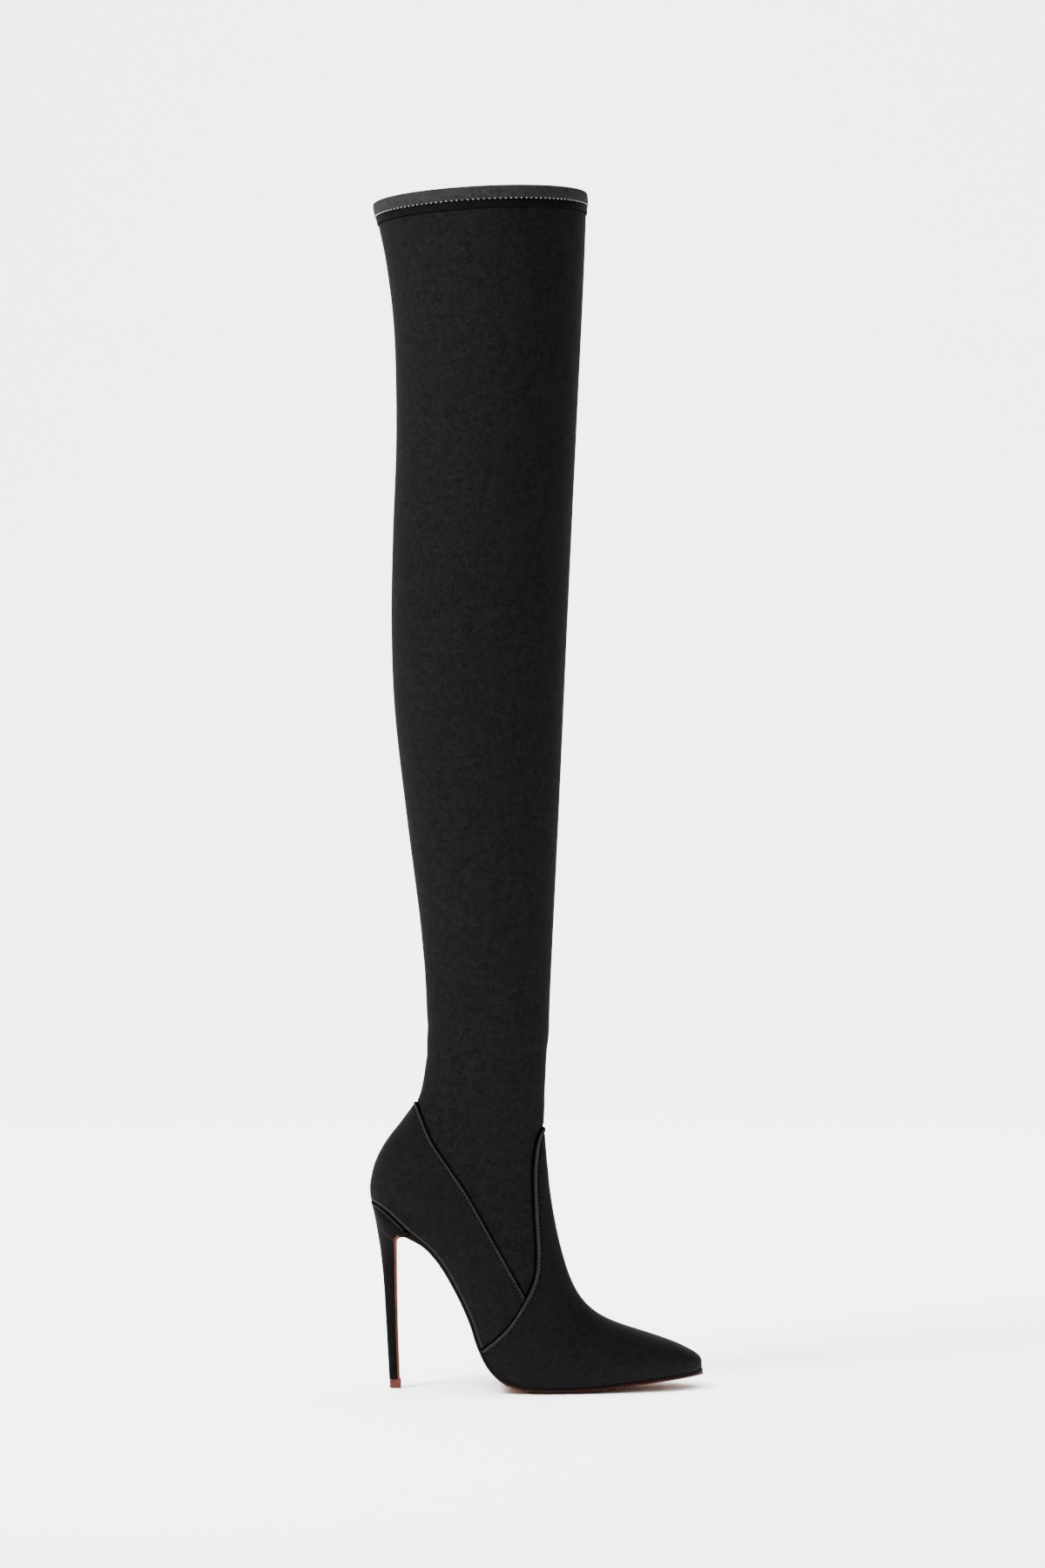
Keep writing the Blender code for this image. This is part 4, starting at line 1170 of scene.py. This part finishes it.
def stitch_shape(shape, path, pitch, length, radius):
    """Adds short rounded stitches along a path of points with normals."""
    points, normals = (np.array(rows) for rows in zip(*path))
    walked = np.concatenate([[0], np.cumsum(np.linalg.norm(np.diff(points, axis=0), axis=1))])
    turns = np.linspace(0, 2 * math.pi, STITCH_SIDES + 1)[:-1]
    for k in range(int(walked[-1] / pitch)):
        rings = []
        for share, thick in STITCH_RINGS:
            at = (k + 0.5) * pitch + share * length
            centre = between(at, walked, points)
            ahead = between(at + LOOK_AHEAD, walked, points) - centre
            out = between(at, walked, normals)
            out /= np.linalg.norm(out)
            side = np.cross(out, ahead / max(np.linalg.norm(ahead), TINY))
            centre = centre + out * (radius * (STITCH_LIFT - STITCH_DIVE * abs(share)))
            offsets = [math.cos(turn) * side + math.sin(turn) * out for turn in turns]
            rings.append([shape.verts.new(centre + thick * radius * offset) for offset in offsets])
        for first, second in zip(rings, rings[1:]):
            for j in range(STITCH_SIDES):
                after = (j + 1) % STITCH_SIDES
                shape.faces.new((first[j], first[after], second[after], second[j]))
        shape.faces.new(rings[0][::-1])
        shape.faces.new(rings[-1])


def seam_paths(piece, line):
    """A line in side view laid on a piece, once from each side of the boot."""
    tree = BVHTree.FromObject(piece, bpy.context.evaluated_depsgraph_get())
    paths = []
    for side in (-1, 1):
        path = []
        for x, z in line:
            start = Vector((x, side * WELL_ASIDE, z))
            point, normal, _, _ = tree.ray_cast(start, Vector((0, -side, 0)))
            if point is not None and point.y * side > -PAST_MIDDLE:
                facing = normal if normal.y * side > 0 else -normal
                path.append((np.array(point), np.array(facing)))
        paths.append(path)
    return paths


def build_stitches(name, paths, material, slot, pitch, length, radius):
    shape = bmesh.new()
    for path in paths:
        if len(path) > 2:
            stitch_shape(shape, path, pitch, length, radius)
    bmesh.ops.recalc_face_normals(shape, faces=shape.faces)
    return add_piece(name, shape, (material,))


def band_path():
    """The line of the binding's stitches, all round the collar."""
    points = ring_line(BAND_HEIGHT - BAND_STITCHES, BAND_STITCH_OUT)
    points = np.concatenate([points, points[:1]])
    return list(zip(points, outward(np.gradient(points, axis=0))))


# Insole, stage, lights and camera


def finish_insole(material):
    """The board inside keeps its solid and takes the lining's look."""
    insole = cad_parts["insole"]
    insole.data.materials.clear()
    insole.data.materials.append(material)


def stage_material():
    material = bpy.data.materials.new("studio_white")
    material.use_nodes = True
    shader = material.node_tree.nodes["Principled BSDF"]
    fill(shader, Base_Color=(0.95, 0.95, 0.95, 1), Roughness=0.9, Specular_IOR_Level=0.1)
    return material


def build_stage():
    """A pale floor that curves up behind the boot."""
    near, far, top, bend, half = -6.0, 5.0, 9.0, 2.5, 12.0
    profile = [(near, 0), (far - bend, 0)]
    for turn in np.linspace(0, math.pi / 2, 17)[1:]:
        profile.append((far - bend + bend * math.sin(turn), bend - bend * math.cos(turn)))
    profile.append((far, top))
    points = [(side * half, y, z) for y, z in profile for side in (-1, 1)]
    faces = [(2 * k, 2 * k + 1, 2 * k + 3, 2 * k + 2) for k in range(len(profile) - 1)]
    mesh = bpy.data.meshes.new("studio_floor")
    mesh.from_pydata(points, [], faces)
    mesh.shade_smooth()
    floor = bpy.data.objects.new("studio_floor", mesh)
    stage = bpy.data.collections.new("stage")
    bpy.context.scene.collection.children.link(stage)
    stage.objects.link(floor)
    mesh.materials.append(stage_material())
    return stage


# Lights: name, place, target, size, power in watts, whether only the stage is lit
LIGHTS = (
    ("left_soft", (-0.8, -0.62, 1.35), (-0.03, 0, 0.66), (0.4, 0.5), 34, False),
    ("front_soft", (-0.6, -2.6, 2.4), (0, 0, 0.4), (1.6, 1.6), 50, False),
    ("top_soft", (-0.5, -0.5, 2.4), (0, 0, 0.1), (0.9, 0.9), 34, False),
    ("backdrop_wash", (0, 1.5, 3.4), (0, 4.6, 0.9), (6.0, 2.0), 620, True),
    ("floor_wash", (0, 0.4, 3.0), (0, 1.2, 0), (5.0, 3.0), 320, True),
)
WORLD_STRENGTH = 0.30


def add_light(name, place, target, size, power, receivers):
    """A soft light; where receivers are given, it lights nothing else."""
    light = bpy.data.lights.new(name, "AREA")
    light.shape = "RECTANGLE"
    light.size, light.size_y = size
    light.energy = power
    lamp = bpy.data.objects.new(name, light)
    lamp.location = place
    direction = Vector(target) - Vector(place)
    lamp.rotation_euler = direction.to_track_quat("-Z", "Y").to_euler()
    lamp.visible_camera = False
    bpy.context.scene.collection.objects.link(lamp)
    if receivers:
        lamp.light_linking.receiver_collection = receivers


def build_lights(stage):
    world = bpy.data.worlds.new("studio")
    bpy.context.scene.world = world
    world.use_nodes = True
    fill(world.node_tree.nodes["Background"], Color=(1, 1, 1, 1), Strength=WORLD_STRENGTH)
    for *light, only_stage in LIGHTS:
        add_light(*light, stage if only_stage else None)


# Camera: lens in millimetres, and place
LENS = 109.1
EYE = (-0.0089, -3.0, 0.381)


def build_camera():
    """The photograph's view: level with the knee, square to the outer side."""
    camera = bpy.data.cameras.new("camera")
    camera.lens = LENS
    camera.sensor_width = 36
    camera.clip_end = 50
    eye = bpy.data.objects.new("camera", camera)
    eye.location = EYE
    eye.rotation_euler = (math.pi / 2, 0, 0)
    bpy.context.scene.collection.objects.link(eye)
    bpy.context.scene.camera = eye


def build():
    # shade is the material of painted shade, and strip that of painted highlights
    suede, shade, strip = stretch_suede(), seam_painted_shade(), strip_painted_highlight()
    overlay = (overlay_suede(), shade, strip)
    lining = lining_leather()
    build_shaft(suede, shade)
    build_lining(lining)
    vamp = build_vamp(overlay)
    counter = build_counter(overlay)
    cover = heel_cover()
    build_band((band_cloth(), cover, shade))
    inks = [sole_finish(*row) for row in SOLE_FINISHES]
    build_sole((sole_leather(), *inks))
    build_heel((cover, shade, strip))
    build_tip(tip_polymer())
    finish_insole(lining)
    black = thread("black_thread", (0.008, 0.008, 0.0085))
    pale = thread("pale_thread", (0.30, 0.30, 0.31))
    vamp_line = shifted(side_line(VAMP_EDGE, STITCH_LINE_STEPS), VAMP_STITCHES)
    counter_line = shifted(side_line(COUNTER_EDGE, STITCH_LINE_STEPS)[::-1], COUNTER_STITCHES)
    seams = ("vamp_stitches", vamp, vamp_line), ("counter_stitches", counter, counter_line)
    for name, piece, line in seams:
        build_stitches(name, seam_paths(piece, line), black, "overlay_black", *SEAM_STITCH)
    build_stitches("binding_stitches", [band_path()], pale, "binding_black", *BAND_STITCH)
    build_lights(build_stage())
    build_camera()


build()
bpy.context.view_layer.update()
